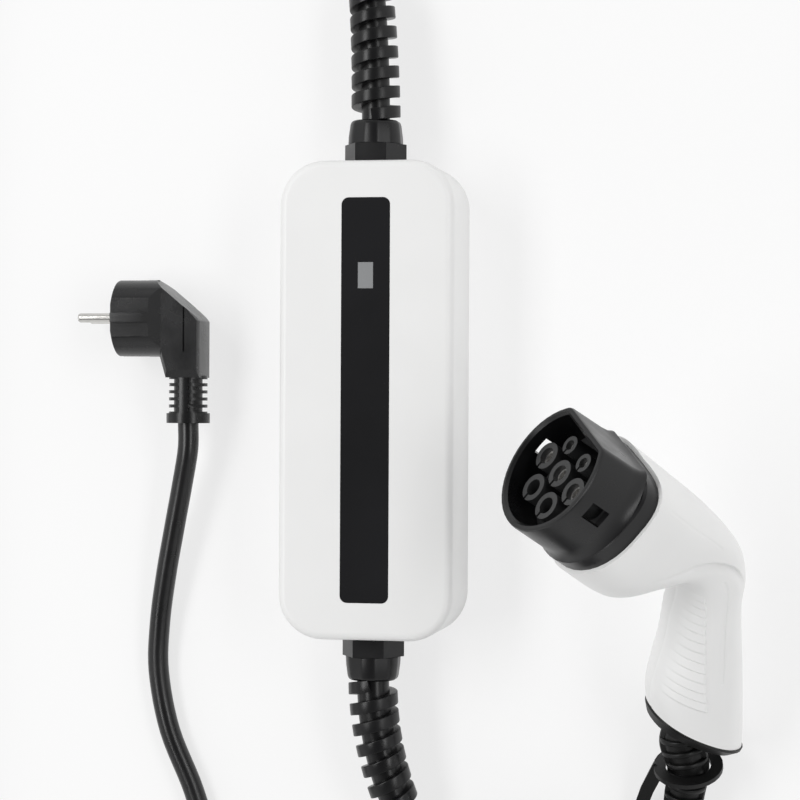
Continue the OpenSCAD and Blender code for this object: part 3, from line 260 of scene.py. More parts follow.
finishes = {
    "whiteShell": {"color": (0.80, 0.80, 0.795), "drift": 0.012, "rough": 0.42, "uneven": 0.05, "grainScale": 2600,
                   "grainDepth": 0.00003, "grainStrength": 0.22, "waveScale": 40, "waveDepth": 0.0001},
    "gloss": {"color": (0.006, 0.006, 0.007), "drift": 0.25, "rough": 0.09, "uneven": 0.025, "grainScale": 900,
              "grainDepth": 0.000005, "grainStrength": 0.1, "coat": 0.6, "coatRough": 0.04, "waveDepth": 0.00002},
    "smokedWindow": {"color": (0.25, 0.255, 0.26), "drift": 0.06, "rough": 0.14, "uneven": 0.03, "grainScale": 1400,
                     "grainDepth": 0.000005, "grainStrength": 0.1, "coat": 0.5, "coatRough": 0.05},
    "blackNylon": {"color": (0.0045, 0.0045, 0.005), "drift": 0.2, "rough": 0.32, "uneven": 0.06, "grainScale": 2200,
                   "grainDepth": 0.00003, "grainStrength": 0.25, "ior": 1.4},
    "noseBlack": {"color": (0.005, 0.005, 0.0055), "drift": 0.18, "rough": 0.31, "uneven": 0.06, "grainScale": 2600,
                  "grainDepth": 0.00004, "grainStrength": 0.3, "ior": 1.43},
    "overmould": {"color": (0.006, 0.006, 0.0065), "drift": 0.2, "rough": 0.26, "uneven": 0.05, "grainScale": 1800,
                  "grainDepth": 0.00005, "grainStrength": 0.35, "ior": 1.42},
    "jacket": {"color": (0.0045, 0.0045, 0.005), "drift": 0.2, "rough": 0.3, "uneven": 0.06, "grainScale": 1500,
               "grainDepth": 0.00003, "grainStrength": 0.25, "waveScale": 70, "waveDepth": 0.00012},
    "contactGrey": {"color": (0.024, 0.0245, 0.025), "drift": 0.1, "rough": 0.46, "uneven": 0.05, "grainScale": 2400,
                    "grainDepth": 0.00003, "grainStrength": 0.25},
    "bootRubber": {"color": (0.004, 0.004, 0.004), "drift": 0.2, "rough": 0.42, "uneven": 0.06, "grainScale": 1700,
                   "grainDepth": 0.00004, "grainStrength": 0.3, "ior": 1.36},
    "softRubber": {"color": (0.005, 0.005, 0.005), "drift": 0.2, "rough": 0.45, "uneven": 0.06, "grainScale": 1600,
                   "grainDepth": 0.00004, "grainStrength": 0.35, "ior": 1.38},
    "sealGrey": {"color": (0.12, 0.12, 0.12), "drift": 0.1, "rough": 0.6, "uneven": 0.05, "grainScale": 1500,
                 "grainDepth": 0.00003, "grainStrength": 0.3},
    "solderGreen": {"color": (0.02, 0.12, 0.05), "drift": 0.15, "rough": 0.3, "uneven": 0.05, "grainScale": 700,
                    "grainDepth": 0.00005, "grainStrength": 0.3, "driftScale": 120},
    "relayBlue": {"color": (0.02, 0.04, 0.16), "drift": 0.08, "rough": 0.35, "uneven": 0.05, "grainScale": 1500,
                  "grainDepth": 0.00002, "grainStrength": 0.2},
    "windingYellow": {"color": (0.5, 0.34, 0.05), "drift": 0.1, "rough": 0.4, "uneven": 0.06, "grainScale": 800,
                      "grainDepth": 0.00005, "grainStrength": 0.3},
    "terminalGreen": {"color": (0.02, 0.2, 0.06), "drift": 0.08, "rough": 0.4, "uneven": 0.05, "grainScale": 1500,
                      "grainDepth": 0.00002, "grainStrength": 0.2},
}
metals = {
    "nickelPlate": {"color": (0.62, 0.61, 0.59), "rough": 0.2, "lineScale": 500, "lineStretch": (0.15, 1, 1)},
    "silverPlate": {"color": (0.82, 0.81, 0.79), "rough": 0.42, "lineScale": 700, "lineStretch": (1, 0.3, 1)},
    "zincSteel": {"color": (0.5, 0.5, 0.5), "rough": 0.3, "lineScale": 600, "lineStretch": (1, 1, 0.2)},
}
tieCloth = {"color": (0.02, 0.02, 0.022), "rough": 0.9, "sheen": 0.35, "threadScale": 420, "threadDepth": 0.0003,
            "waver": 0.6, "fuzzScale": 1800, "fuzz": (0.7, 1.3), "fuzzDepth": 0.0001, "relief": 0.5}
finish = {name: mouldedMaterial(name, look) for name, look in finishes.items()}
finish.update({name: metalMaterial(name, look) for name, look in metals.items()})
finish["tieCloth"] = clothMaterial("tieCloth", tieCloth)
print("finishes made:", len(finish))

# Leads: routes in millimetres, the same points as the solids follow
mainsLead = {"diameter": 0.0105, "exit": (-4, 207.6, 21), "steps": 6, "route": [
    (-2.25, 190.45, 22.75), (-4, 207.6, 21), (-9, 234, 18.5), (-23, 249, 15.5), (-43, 257, 12.5), (-70, 260, 9),
    (-97, 261, 7), (-124, 262, 5.6), (-152, 262, 5.4), (-178, 257, 5.4), (-199, 245, 5.4), (-213, 224, 5.4),
    (-218, 200, 5.4), (-218, 144, 5.4), (-218, 88, 5.4), (-218, 32, 5.4), (-218, -24, 5.4), (-218, -80, 5.4),
    (-218, -136, 5.4), (-218, -192, 5.4), (-216, -220, 5.4), (-210, -246, 5.4), (-194, -268, 5.4), (-168, -281, 5.4),
    (-139, -283, 5.4), (-115, -272, 5.4), (-98, -252, 5.4), (-91, -226, 5.4), (-97, -201, 5.4), (-110, -170, 5.4),
    (-116, -140, 5.6), (-115, -115, 7.5), (-111, -90, 10.5), (-106, -66, 13.5), (-101, -43, 16.5), (-97.3, -25, 19.5),
    (-97.3, -12, 19.5)]}
vehicleLead = {"diameter": 0.0125, "exit": (14, -207.6, 18), "steps": 3, "boxEnd": [
    (7.9, -190.45, 21.06), (14, -207.6, 18), (20, -238, 13.5), (18, -264, 10), (8, -289, 8), (-7, -312, 6.9),
    (-19, -335, 6.4), (-23.5, -352, 6.4)], "handleEnd": [
    (163.3, -350, 6.4), (160, -325, 6.4), (155, -300, 6.4), (151, -277, 6.4), (148.6, -256, 6.4), (148.7, -238, 7.3),
    (149.96, -225.4, 9.33), (150, -224, 9.6)]}
coil = {"centre": (70, -368), "outer": 93.8, "pitch": 12.5, "floor": 6.4, "lowest": 7.55,
        "from": 180, "to": 3240, "step": 12, "rise": 120,
        "inward": [(180, 300), (540, 660), (900, 1020), (2220, 2340), (2580, 2700)],
        "outward": [(1380, 1500), (1740, 1860)], "cross": (2880, 3030), "crossed": 3,
        "climbs": [(1140, 1260), (1980, 2100), (2760, 2880)], "descent": (3030, 3240)}


def coilPoint(turn):  # radius and height of the wound lead at an angle in degrees
    c = coil
    radius = c["outer"] + c["crossed"] * c["pitch"] * ease(turn, *c["cross"])
    radius += c["pitch"] * (sum(ease(turn, *w) for w in c["outward"]) - sum(ease(turn, *w) for w in c["inward"]))
    height = c["floor"] + (c["lowest"] - c["floor"]) * ease(turn, c["from"], c["from"] + c["rise"])
    height += c["pitch"] * sum(ease(turn, *w) for w in c["climbs"])
    top = c["lowest"] + c["pitch"] * len(c["climbs"])
    height -= (top - c["floor"]) * ease(turn, *c["descent"])
    return radius, height


def coilPlace(radius, height, turn):
    angle = math.radians(turn)
    return (coil["centre"][0] + radius * math.cos(angle), coil["centre"][1] + radius * math.sin(angle), height)


def coilRoute():
    turns = range(coil["from"], coil["to"] + 1, coil["step"])
    return [coilPlace(*coilPoint(turn), turn) for turn in turns]


def addCord(name, route, diameter, material):
    data = bpy.data.curves.new(name, "CURVE")
    data.dimensions = "3D"
    data.bevel_depth = diameter / 2
    data.bevel_resolution = 7
    data.use_fill_caps = True
    line = data.splines.new("POLY")
    line.points.add(len(route) - 1)
    for point, place in zip(line.points, route):
        point.co = (*place, 1)
    line.use_smooth = True
    data.materials.append(material)
    cord = bpy.data.objects.new(name, data)
    scene.collection.objects.link(cord)
    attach(cord, "root")
    return cord


def metres(points):
    return [Vector(p) * mm for p in points]


mainsRoute = smoothRoute(metres(mainsLead["route"]), mainsLead["steps"])
mainsCord = addCord("mainsCord", mainsRoute, mainsLead["diameter"], finish["jacket"])
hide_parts("mains_lead")
vehiclePoints = vehicleLead["boxEnd"] + coilRoute() + vehicleLead["handleEnd"]
vehicleRoute = smoothRoute(metres(vehiclePoints), vehicleLead["steps"])
vehicleCord = addCord("vehicleCord", vehicleRoute, vehicleLead["diameter"], finish["jacket"])
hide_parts("vehicle_lead_box_end", "vehicle_lead_handle_end", "vehicle_lead_coil")
print("leads laid: mains %.2f m, vehicle %.2f m" % (routeLength(mainsRoute), routeLength(vehicleRoute)))

# Ties round the coil: a cloth band round all the turns that pass at that angle
coilTies = {"angles": (84, 204, 324), "arc": 13.4, "steps": 8, "gap": 0.5, "thickness": 1.2, "sides": 24, "sharp": 40}


def hullLoop(centres, radius):  # outline of a belt round circles, as (r, z) points
    angles = [2 * math.pi * k / coilTies["sides"] for k in range(coilTies["sides"])]
    points = sorted({(round(r + radius * math.cos(a), 4), round(z + radius * math.sin(a), 4))
                     for r, z in centres for a in angles})

    def half(items):
        chain = []
        for p in items:
            while len(chain) > 1 and ((chain[-1][0] - chain[-2][0]) * (p[1] - chain[-2][1])
                                      - (chain[-1][1] - chain[-2][1]) * (p[0] - chain[-2][0])) <= 0:
                chain.pop()
            chain.append(p)
        return chain[:-1]
    return half(points) + half(points[::-1])


def tieMesh(name, angle):
    middle = round(angle + coilTies["arc"] / 2)
    passes = [coilPoint(turn) for turn in range(coil["from"], coil["to"] + 1) if (turn - middle) % 360 == 0]
    centres = [(r, max(z, coil["lowest"])) for r, z in passes]
    inner = hullLoop(centres, coil["pitch"] / 2 + coilTies["gap"])
    outer = hullLoop(centres, coil["pitch"] / 2 + coilTies["gap"] + coilTies["thickness"])
    count = min(len(inner), len(outer))
    inner, outer = inner[:count], outer[:count]
    verts, faces = [], []
    for i in range(coilTies["steps"] + 1):
        turn = angle + coilTies["arc"] * i / coilTies["steps"]
        verts += [Vector(coilPlace(r, max(z, 0), turn)) * mm for r, z in outer + inner[::-1]]
    ring = 2 * count
    for i in range(coilTies["steps"]):
        for k in range(count):
            n = (k + 1) % count
            a, b = i * ring, (i + 1) * ring
            faces.append((a + k, a + n, b + n, b + k))
            faces.append((a + ring - 1 - n, a + ring - 1 - k, b + ring - 1 - k, b + ring - 1 - n))
    for row in (0, coilTies["steps"] * ring):
        for k in range(count):
            n = (k + 1) % count
            faces.append((row + k, row + n, row + ring - 1 - n, row + ring - 1 - k))
    return meshFrom(name, verts, faces, coilTies["sharp"])


for number, angle in enumerate(coilTies["angles"], 1):
    name = "coilTie%d" % number
    newPiece(name, tieMesh(name, angle), finish["tieCloth"])
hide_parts("coil_ties")

# Copies of faceted solids with clean flats and soft shading
cleaning = {"weld": 0.00002, "sliver": 0.00001, "flat": 0.4}


def smoothCopy(node, name, material, sharp):
    mesh = nodes[node].data.copy()
    mesh.name = name
    bm = bmesh.new()
    bm.from_mesh(mesh)
    bmesh.ops.remove_doubles(bm, verts=bm.verts, dist=cleaning["weld"])
    bmesh.ops.dissolve_degenerate(bm, edges=bm.edges, dist=cleaning["sliver"])
    bmesh.ops.dissolve_limit(bm, angle_limit=math.radians(cleaning["flat"]), verts=bm.verts, edges=bm.edges)
    softShade(bm, sharp)
    bm.to_mesh(mesh)
    bm.free()
    if mesh.has_custom_normals:
        mesh.normals_split_custom_set([(0, 0, 0)] * len(mesh.loops))
    work = bpy.data.objects.new(name + "Work", mesh)
    scene.collection.objects.link(work)
    even = work.modifiers.new("even", "WEIGHTED_NORMAL")
    even.keep_sharp = True
    made = bpy.data.meshes.new_from_object(work.evaluated_get(bpy.context.evaluated_depsgraph_get()))
    made.name = name
    bpy.data.objects.remove(work)
    return newPiece(name, made, material, (node,))


copies = {
    "front_cover": ("frontCover", "whiteShell", "white_plastic", 38),
    "connector_nose": ("connectorNose", "noseBlack", "black_plastic", 30),
    "plug_body": ("plugBody", "overmould", "plug_rubber", 32),
    "end_collar": ("endCollar", "bootRubber", "plug_rubber", 32),
    "tether_strap": ("tetherStrap", "softRubber", "soft_rubber", 42),
    "dust_cap": ("dustCap", "softRubber", "soft_rubber", 32),
    "contact_block": ("contactBlock", "contactGrey", "grey_plastic", 32),
}
smoothPieces = {}
for node, (name, look, slotName, sharp) in copies.items():
    smoothPieces[name] = smoothCopy(node, name, finish[look], sharp)
print("smooth copies:", len(smoothPieces))

# Finishes of the solids that stay as they are
nodeFinish = {
    "whiteShell": ["rear_cover"], "gloss": ["front_panel"], "smokedWindow": ["display_window"],
    "blackNylon": ["top_gland_body", "bottom_gland_body", "top_gland_lock_nut", "bottom_gland_lock_nut", "plug_insert",
                   "display_module", "leakage_sensor"],
    "contactGrey": ["cable_clamp"], "nickelPlate": ["plug_pins", "plug_earth_clips", "plug_earth_sleeve"],
    "silverPlate": ["power_contacts", "signal_contacts"],
    "zincSteel": ["case_screws", "board_screws", "handle_screws"],
    "sealGrey": ["box_seal", "top_gland_seal", "bottom_gland_seal"],
    "solderGreen": ["control_board"], "relayBlue": ["relays", "capacitors"], "windingYellow": ["supply_transformer"],
    "terminalGreen": ["mains_terminal", "output_terminal"],
}
for look, names in nodeFinish.items():
    for name in names:
        nodes[name].data.materials.clear()
        nodes[name].data.materials.append(finish[look])
print("solids finished:", sum(len(names) for names in nodeFinish.values()))

# Handle shells: the sections of the source, at a finer step, with rounded ridges and a parting line
handle = {"place": (101.8, -29.7, 134.5), "turn": (6.5, -50, -46), "wall": 3, "rings": 420, "seam": 0.3, "sharp": 42,
          "ridges": (5.4, 9.6), "ridgeCount": 13, "ridgeLift": 1.25, "ridgeArc": (-84, -30, -4), "ridgeFade": (20, 4),
          "ridgeCurve": 0.6, "ridgeCrest": 0.84, "ridgeDrop": (0.9, 0.16),
          "thumb": (3.7, 14), "thumbReach": (0.16, 0.5, 19), "thumbLean": 0.05, "thumbDent": 2.7,
          "groove": ((4.5, 2), (8.6, 8)), "grooveDepth": 0.4, "grooveWidth": 1.5, "grooveFade": 0.08,
          "crease": ((0.8, 38), (3.3, 34)), "creaseDepth": 0.25,
          "fine": (-34, 44), "outerStep": 3.2, "fineStep": 1.1, "innerStep": 7.5}
flangeRadius, flangeFlat, flangeBack = 35.5, 27.5, -35.5
flangeMiddle = flangeRadius / (flangeRadius + flangeFlat)
stations = [  # front y and z, back y and z, half width, middle, roundness in front and behind
    (-flangeRadius, flangeBack, flangeFlat, flangeBack, flangeRadius, flangeMiddle, 1, 0.56),
    (-35.8, -56, 27.2, -44, 34.6, 0.56, 0.97, 0.58), (-33, -65.5, 26.5, -62, 31, 0.55, 0.93, 0.62),
    (-23.5, -74.5, 25.3, -84, 25.4, 0.53, 0.9, 0.68), (-12, -82.5, 21.5, -104, 22.6, 0.52, 0.87, 0.75),
    (-8.5, -90.5, 12.5, -117, 22.2, 0.5, 0.85, 0.8), (-15, -99.5, 2.3, -124.9, 21.6, 0.5, 0.85, 0.82),
    (-26.3, -106.5, -8, -135.8, 21.2, 0.5, 0.85, 0.84), (-39, -115, -21.5, -151, 20.8, 0.5, 0.85, 0.85),
    (-52, -122, -35.5, -166, 21, 0.5, 0.85, 0.87), (-62.5, -128.5, -48.5, -180, 21.4, 0.5, 0.85, 0.93),
    (-70, -136.5, -59, -190.5, 21.8, 0.5, 0.85, 1)]
turnX, turnY, turnZ = (math.radians(a) for a in handle["turn"])
handleFrame = (Matrix.Translation(handle["place"]) @ Matrix.Rotation(turnZ, 4, "Z") @ Matrix.Rotation(turnY, 4, "Y")
               @ Matrix.Rotation(turnX, 4, "X"))


def gripPoint(s, a, inset, lift=0.0):
    fy, fz, by, bz, width, middle, roundFront, roundBack = smoothAt(stations, s)
    cy, cz = fy + (by - fy) * middle, fz + (bz - fz) * middle
    ry, rz = (fy - cy, fz - cz) if a < 0 else (by - cy, bz - cz)
    power = roundFront if a < 0 else roundBack
    share = (1 - inset / math.hypot(ry, rz)) * abs(math.sin(math.radians(a))) ** power
    x = (width - inset + lift) * max(math.cos(math.radians(a)), 0) ** power
    return Vector((x, cy + ry * share, cz + rz * share))


def thumbDip(s, a):
    down, back = s - handle["thumb"][0], a - handle["thumb"][1]
    offset = down - handle["thumbLean"] * back
    above, below, wide = handle["thumbReach"]
    return handle["thumbDent"] * math.exp(-(offset / (above if offset < 0 else below)) ** 2 - (back / wide) ** 2)


def cutLine(s, a, ends, width):  # share of a fine groove that runs between two places on the handle
    (s0, a0), (s1, a1) = ends
    fade = handle["grooveFade"]
    middle = a0 + (a1 - a0) * (s - s0) / (s1 - s0)
    return ease(s, s0, s0 + fade) * (1 - ease(s, s1 - fade, s1)) * math.exp(-((a - middle) / width) ** 2)


def gripLift(s, a):  # height of the surface detail at a place on the handle
    h = handle
    lift = -thumbDip(s, a) - h["grooveDepth"] * cutLine(s, a, h["groove"], h["grooveWidth"])
    lift -= h["creaseDepth"] * cutLine(s, a, h["crease"], h["grooveWidth"])
    along = (s - h["ridges"][0]) / (h["ridges"][1] - h["ridges"][0])
    if 0 < along < 1:
        first, upper, lower = h["ridgeArc"]
        fadeIn, fadeOut = h["ridgeFade"]
        top, length = h["ridgeDrop"]
        saw = (along * h["ridgeCount"]) % 1
        ridge = saw ** h["ridgeCurve"] if saw < h["ridgeCrest"] else top * (1 - saw) / length
        end = upper + (lower - upper) * along
        lift += h["ridgeLift"] * ridge * ease(a, first, first + fadeIn) * (1 - ease(a, end - fadeOut, end))
    return lift


def stepsBetween(start, end, step):
    count = max(round((end - start) / step), 1)
    return [start + (end - start) * k / count for k in range(count)]


def shellMesh(name, mirror):
    h, rows, last = handle, handle["rings"], len(stations) - 1
    outer = (stepsBetween(-90, h["fine"][0], h["outerStep"]) + stepsBetween(*h["fine"], h["fineStep"])
             + stepsBetween(h["fine"][1], 90, h["outerStep"]) + [90])
    inner = stepsBetween(90, -90, -h["innerStep"]) + [-90]
    verts = []
    for i in range(rows + 1):
        s = last * i / rows
        ring = [gripPoint(s, a, h["seam"] if abs(a) == 90 else 0, gripLift(s, a)) for a in outer]
        ring += [gripPoint(s, a, h["wall"], -thumbDip(s, a)) for a in inner]
        for p in ring:
            if mirror:
                p.x = -p.x
            verts.append(handleFrame @ p * mm)
    columns = len(outer) + len(inner)
    faces = gridFaces(rows + 1, columns, True)
    faces += [tuple(row + k for k in range(columns)) for row in (0, rows * columns)]
    return meshFrom(name, verts, faces, h["sharp"])


shells = {"handle_right_shell": ("handleRightShell", False), "handle_left_shell": ("handleLeftShell", True)}
for node, (name, mirror) in shells.items():
    newPiece(name, shellMesh(name, mirror), finish["whiteShell"], (node,))
print("handle shells lofted")


# Geometry Nodes: helpers that run a tree on a line of points and keep the result as a plain mesh
def lineObject(name, points, attributes):
    mesh = bpy.data.meshes.new(name)
    mesh.from_pydata([tuple(p) for p in points], [(i, i + 1) for i in range(len(points) - 1)], [])
    for key, (kind, values) in attributes.items():
        layer = mesh.attributes.new(key, kind, "POINT")
        flat = [c for v in values for c in v] if kind == "FLOAT_VECTOR" else list(values)
        layer.data.foreach_set("vector" if kind == "FLOAT_VECTOR" else "value", flat)
    line = bpy.data.objects.new(name, mesh)
    scene.collection.objects.link(line)
    return line


def newTree(name, inputs):
    tree = bpy.data.node_groups.new(name, "GeometryNodeTree")
    tree.interface.new_socket("Geometry", in_out="INPUT", socket_type="NodeSocketGeometry")
    tree.interface.new_socket("Geometry", in_out="OUTPUT", socket_type="NodeSocketGeometry")
    for label, value in inputs.items():
        kind = "NodeSocketInt" if isinstance(value, int) else "NodeSocketFloat"
        tree.interface.new_socket(label, in_out="INPUT", socket_type=kind).default_value = value
    tree.interface.new_socket("Material", in_out="INPUT", socket_type="NodeSocketMaterial")
    return tree, tree.nodes.new("NodeGroupInput"), tree.nodes.new("NodeGroupOutput")


def addNodes(tree, *kinds):
    return [tree.nodes.new("GeometryNode" + kind) for kind in kinds]


def stripProfile(tree, start, wide, high):  # a strip's rounded section, from the tree's inputs
    strip, fillet = addNodes(tree, "CurvePrimitiveQuadrilateral", "FilletCurve")
    fillet.mode = "POLY"
    fillet.inputs["Count"].default_value = 3
    tree.links.new(start.outputs[wide], strip.inputs["Width"])
    tree.links.new(start.outputs[high], strip.inputs["Height"])
    tree.links.new(strip.outputs["Curve"], fillet.inputs["Curve"])
    tree.links.new(start.outputs["Edge"], fillet.inputs["Radius"])
    return fillet.outputs["Curve"]


def endTree(tree, start, end, mesh):  # soft shading, real geometry and its material
    soft, real, paint = addNodes(tree, "SetShadeSmooth", "RealizeInstances", "SetMaterial")
    geometry = mesh
    for step in (soft, real, paint):
        tree.links.new(geometry, step.inputs["Geometry"])
        geometry = step.outputs["Geometry"]
    tree.links.new(start.outputs["Material"], paint.inputs["Material"])
    tree.links.new(geometry, end.inputs["Geometry"])


def runTree(line, tree, values, name):
    modifier = line.modifiers.new("build", "NODES")
    modifier.node_group = tree
    for item in tree.interface.items_tree:
        if item.item_type == "SOCKET" and item.in_out == "INPUT" and item.name in values:
            modifier[item.identifier] = values[item.name]
    made = bpy.data.meshes.new_from_object(line.evaluated_get(bpy.context.evaluated_depsgraph_get()))
    made.name = name
    line.modifiers.clear()
    bpy.data.objects.remove(line)
    return made


def namedValue(tree, key, kind):
    read = tree.nodes.new("GeometryNodeInputNamedAttribute")
    read.data_type = kind
    read.inputs["Name"].default_value = key
    return read.outputs["Attribute"]


# Spiral band: a rounded flat strip that follows a helix, standing on its outward side
def bandTree():
    tree, start, end = newTree("spiralBand", {"Width": 0.006, "Depth": 0.004, "Edge": 0.0006})
    link = tree.links.new
    path, stand, sweep = addNodes(tree, "MeshToCurve", "SetCurveNormal", "CurveToMesh")
    stand.mode = "FREE"
    sweep.inputs["Fill Caps"].default_value = True
    link(start.outputs["Geometry"], path.inputs["Mesh"])
    link(path.outputs["Curve"], stand.inputs["Curve"])
    link(namedValue(tree, "outward", "FLOAT_VECTOR"), stand.inputs["Normal"])
    link(stand.outputs["Curve"], sweep.inputs["Curve"])
    link(stripProfile(tree, start, "Depth", "Width"), sweep.inputs["Profile Curve"])
    endTree(tree, start, end, sweep.outputs["Mesh"])
    return tree


spiral = {"domeY": 139.0, "height": 25.0, "pitch": 9.8, "turns": 7, "cutShort": 0.5, "band": 6.0, "wide": 26.0,
          "narrow": 21.0, "play": 0.45, "wall": 1.3, "sunk": 0.5, "startsIn": 1, "edge": 0.5, "steps": 48,
          "sides": 96, "tubeSteps": 32, "lip": ((0.2, 0.0), (0.0, 1.0), (0.0, 6.0)),
          "drift": {1: (-4, 4), -1: (14, 7)}, "lead": {1: 10.5, -1: 12.5}}
domeNut = {"across": 27.5, "corner": 1, "foot": 127.0, "profile": [
    (0.0, 0.98), (0.3, 1.0), (4.0, 0.985), (9.6, 0.93), (10.7, 0.905), (11.4, 0.87), (11.8, 0.82), (12.0, 0.75)]}
spiralLength = spiral["pitch"] * spiral["turns"]


def glandAxis(side, along):  # side is 1 at the box's top and -1 at its bottom
    share = max(along, 0) / spiralLength
    shift, drop = spiral["drift"][side]
    return Vector((shift * share ** 2, side * (spiral["domeY"] + along), spiral["height"] - drop * share ** 2))


def sideways(ahead):  # the level and the upright direction across a way
    across = ahead.cross(Vector((0, 0, 1))).normalized()
    return across, across.cross(ahead)


def glandFrame(side, along):
    return sideways((glandAxis(side, along + 0.5) - glandAxis(side, along - 0.5)).normalized())


def helixLine(name, side, sleeve):
    count = int((spiral["turns"] - spiral["cutShort"]) * spiral["steps"])
    points, outward = [], []
    for i in range(count + 1):
        along = spiral["band"] / 2 - spiral["startsIn"] + i * spiral["pitch"] / spiral["steps"]
        angle = 2 * math.pi * i / spiral["steps"]
        across, up = glandFrame(side, along)
        out = up * math.cos(angle) + across * math.sin(angle)
        top = (spiral["wide"] + (spiral["narrow"] - spiral["wide"]) * along / spiralLength) / 2
        low = sleeve - spiral["sunk"]
        points.append((glandAxis(side, along) + out * (top + low) / 2) * mm)
        outward.append(out)
    return lineObject(name, points, {"outward": ("FLOAT_VECTOR", outward)})


loftSharp = 40


def ringLoft(name, rings):  # a closed body through rings of points
    columns = len(rings[0])
    faces = gridFaces(len(rings), columns, True)
    faces += [tuple(range(columns)), tuple((len(rings) - 1) * columns + k for k in range(columns))]
    return meshFrom(name, [p * mm for ring in rings for p in ring], faces, loftSharp)


def joinMeshes(name, meshes):
    bm = bmesh.new()
    for mesh in meshes:
        bm.from_mesh(mesh)
    made = bpy.data.meshes.new(name)
    bm.to_mesh(made)
    bm.free()
    return made


def roundAngles(sides):
    return [2 * math.pi * k / sides for k in range(sides)]


def nutRing(side, along, share):  # a circle cut by soft hexagon flats
    flats, sixth = (domeNut["across"] - domeNut["corner"]) / 2, math.pi / 6
    ring = []
    for angle in roundAngles(spiral["sides"]):
        radius = min(flats / math.cos((angle + sixth) % (2 * sixth) - sixth), domeNut["across"] / 2) * share
        ring.append(Vector((radius * math.cos(angle), side * (domeNut["foot"] + along),
                            spiral["height"] + radius * math.sin(angle))))
    return ring


def tubeRing(side, along, frameAt, radius):
    across, up = glandFrame(side, frameAt)
    middle = glandAxis(side, along)
    return [middle + (across * math.cos(angle) * side + up * math.sin(angle)) * radius
            for angle in roundAngles(spiral["sides"])]


def domeAndTube(name, side):  # dome nut, running into the tube under the spiral
    bore = spiral["lead"][side] / 2 + spiral["play"]
    sleeve = bore + spiral["wall"]
    rings = [nutRing(side, along, share) for along, share in domeNut["profile"]]
    for i in range(spiral["tubeSteps"] + 1):
        along = spiralLength * i / spiral["tubeSteps"]
        rings.append(tubeRing(side, along, along, sleeve))
    for wider, back in spiral["lip"]:
        rings.append(tubeRing(side, spiralLength - back, spiralLength, bore + wider))
    return ringLoft(name, rings), sleeve


spiralTree = bandTree()
for side, node, label in ((1, "top_gland_spiral", "topGlandSpiral"), (-1, "bottom_gland_spiral", "bottomGlandSpiral")):
    tube, sleeve = domeAndTube(label + "Tube", side)
    line = helixLine(label + "Line", side, sleeve)
    depth = (spiral["wide"] + spiral["narrow"]) / 4 - sleeve + spiral["sunk"]
    values = {"Width": spiral["band"] * mm, "Depth": depth * mm, "Edge": spiral["edge"] * mm,
              "Material": finish["blackNylon"]}
    band = runTree(line, spiralTree, values, label + "Band")
    newPiece(label, joinMeshes(label, [tube, band]), finish["blackNylon"], (node,))
print("spirals swept")


# Strain relief of the handle: a tapered boot, its ribs set along it by Geometry Nodes
boot = {"wide": 23.0, "tip": 17.0, "groove": 2.0, "collar": 5.5, "gap": 0.9, "straight": 7, "clamp": 16.0, "root": 17.6,
        "rootEnd": 0.05, "sides": 64, "steps": 60, "spineFrom": (0.25, 0.6), "spineEdge": (0.93, 0.965),
        "tipLength": 0.6, "tipDrop": 0.5,
        "ribs": 11, "ribWidth": 2.6, "ribEdge": 0.8, "ribsFrom": 0.75, "ribsShort": 1.0, "ribSteps": 40,
        "way": [(156, -178, 20), (153.5, -195, 15.2), (151.4, -211, 11.6), (150, -225, 9.4)]}


def sectionPlace(depth):  # a point on the end section's axis, depth towards the nose
    fy, fz, by, bz, _, middle = stations[-1][:6]
    turn = math.atan2(bz - fz, by - fy)
    cy, cz = fy + (by - fy) * middle, fz + (bz - fz) * middle
    return handleFrame @ Vector((0, cy - depth * math.sin(turn), cz + depth * math.cos(turn)))


bootWay = [sectionPlace(-boot["collar"] - away) for away in (boot["gap"], boot["straight"])]
bootWay += [Vector(p) for p in boot["way"]]
bootSpan = len(bootWay) - 1


def bootPlace(u):  # u counts the points of the boot's way
    return Vector(smoothAt(bootWay, u))


def bootDirection(u):
    return (bootPlace(min(u + 0.05, bootSpan)) - bootPlace(max(u - 0.05, 0))).normalized()


def bootRadius(u):
    return (boot["wide"] + (boot["tip"] - boot["wide"]) * u / bootSpan) / 2


def bootRing(middle, ahead, radius, spine=0.0):
    across, up = sideways(ahead)
    ring = []
    for angle in roundAngles(boot["sides"]):
        reach = radius + spine * ease(abs(math.sin(angle)), *boot["spineEdge"])
        ring.append(middle + (up * math.cos(angle) + across * math.sin(angle)) * reach)
    return ring


def bootMesh():
    away = (sectionPlace(0) - sectionPlace(1)).normalized()
    rootEnds = (sectionPlace(boot["clamp"]), bootWay[0] - away * boot["rootEnd"])
    rings = [bootRing(place, away, boot["root"] / 2) for place in rootEnds]
    for i in range(boot["steps"] + 1):
        u = bootSpan * i / boot["steps"]
        spine = boot["groove"] * ease(u, *boot["spineFrom"])
        rings.append(bootRing(bootPlace(u), bootDirection(u), bootRadius(u) - boot["groove"], spine))
    tip = bootDirection(bootSpan)
    tipRadius = bootRadius(bootSpan) - boot["groove"] - boot["tipDrop"]
    rings.append(bootRing(bootWay[-1] + tip * boot["tipLength"], tip, tipRadius))
    return ringLoft("bootCore", rings)


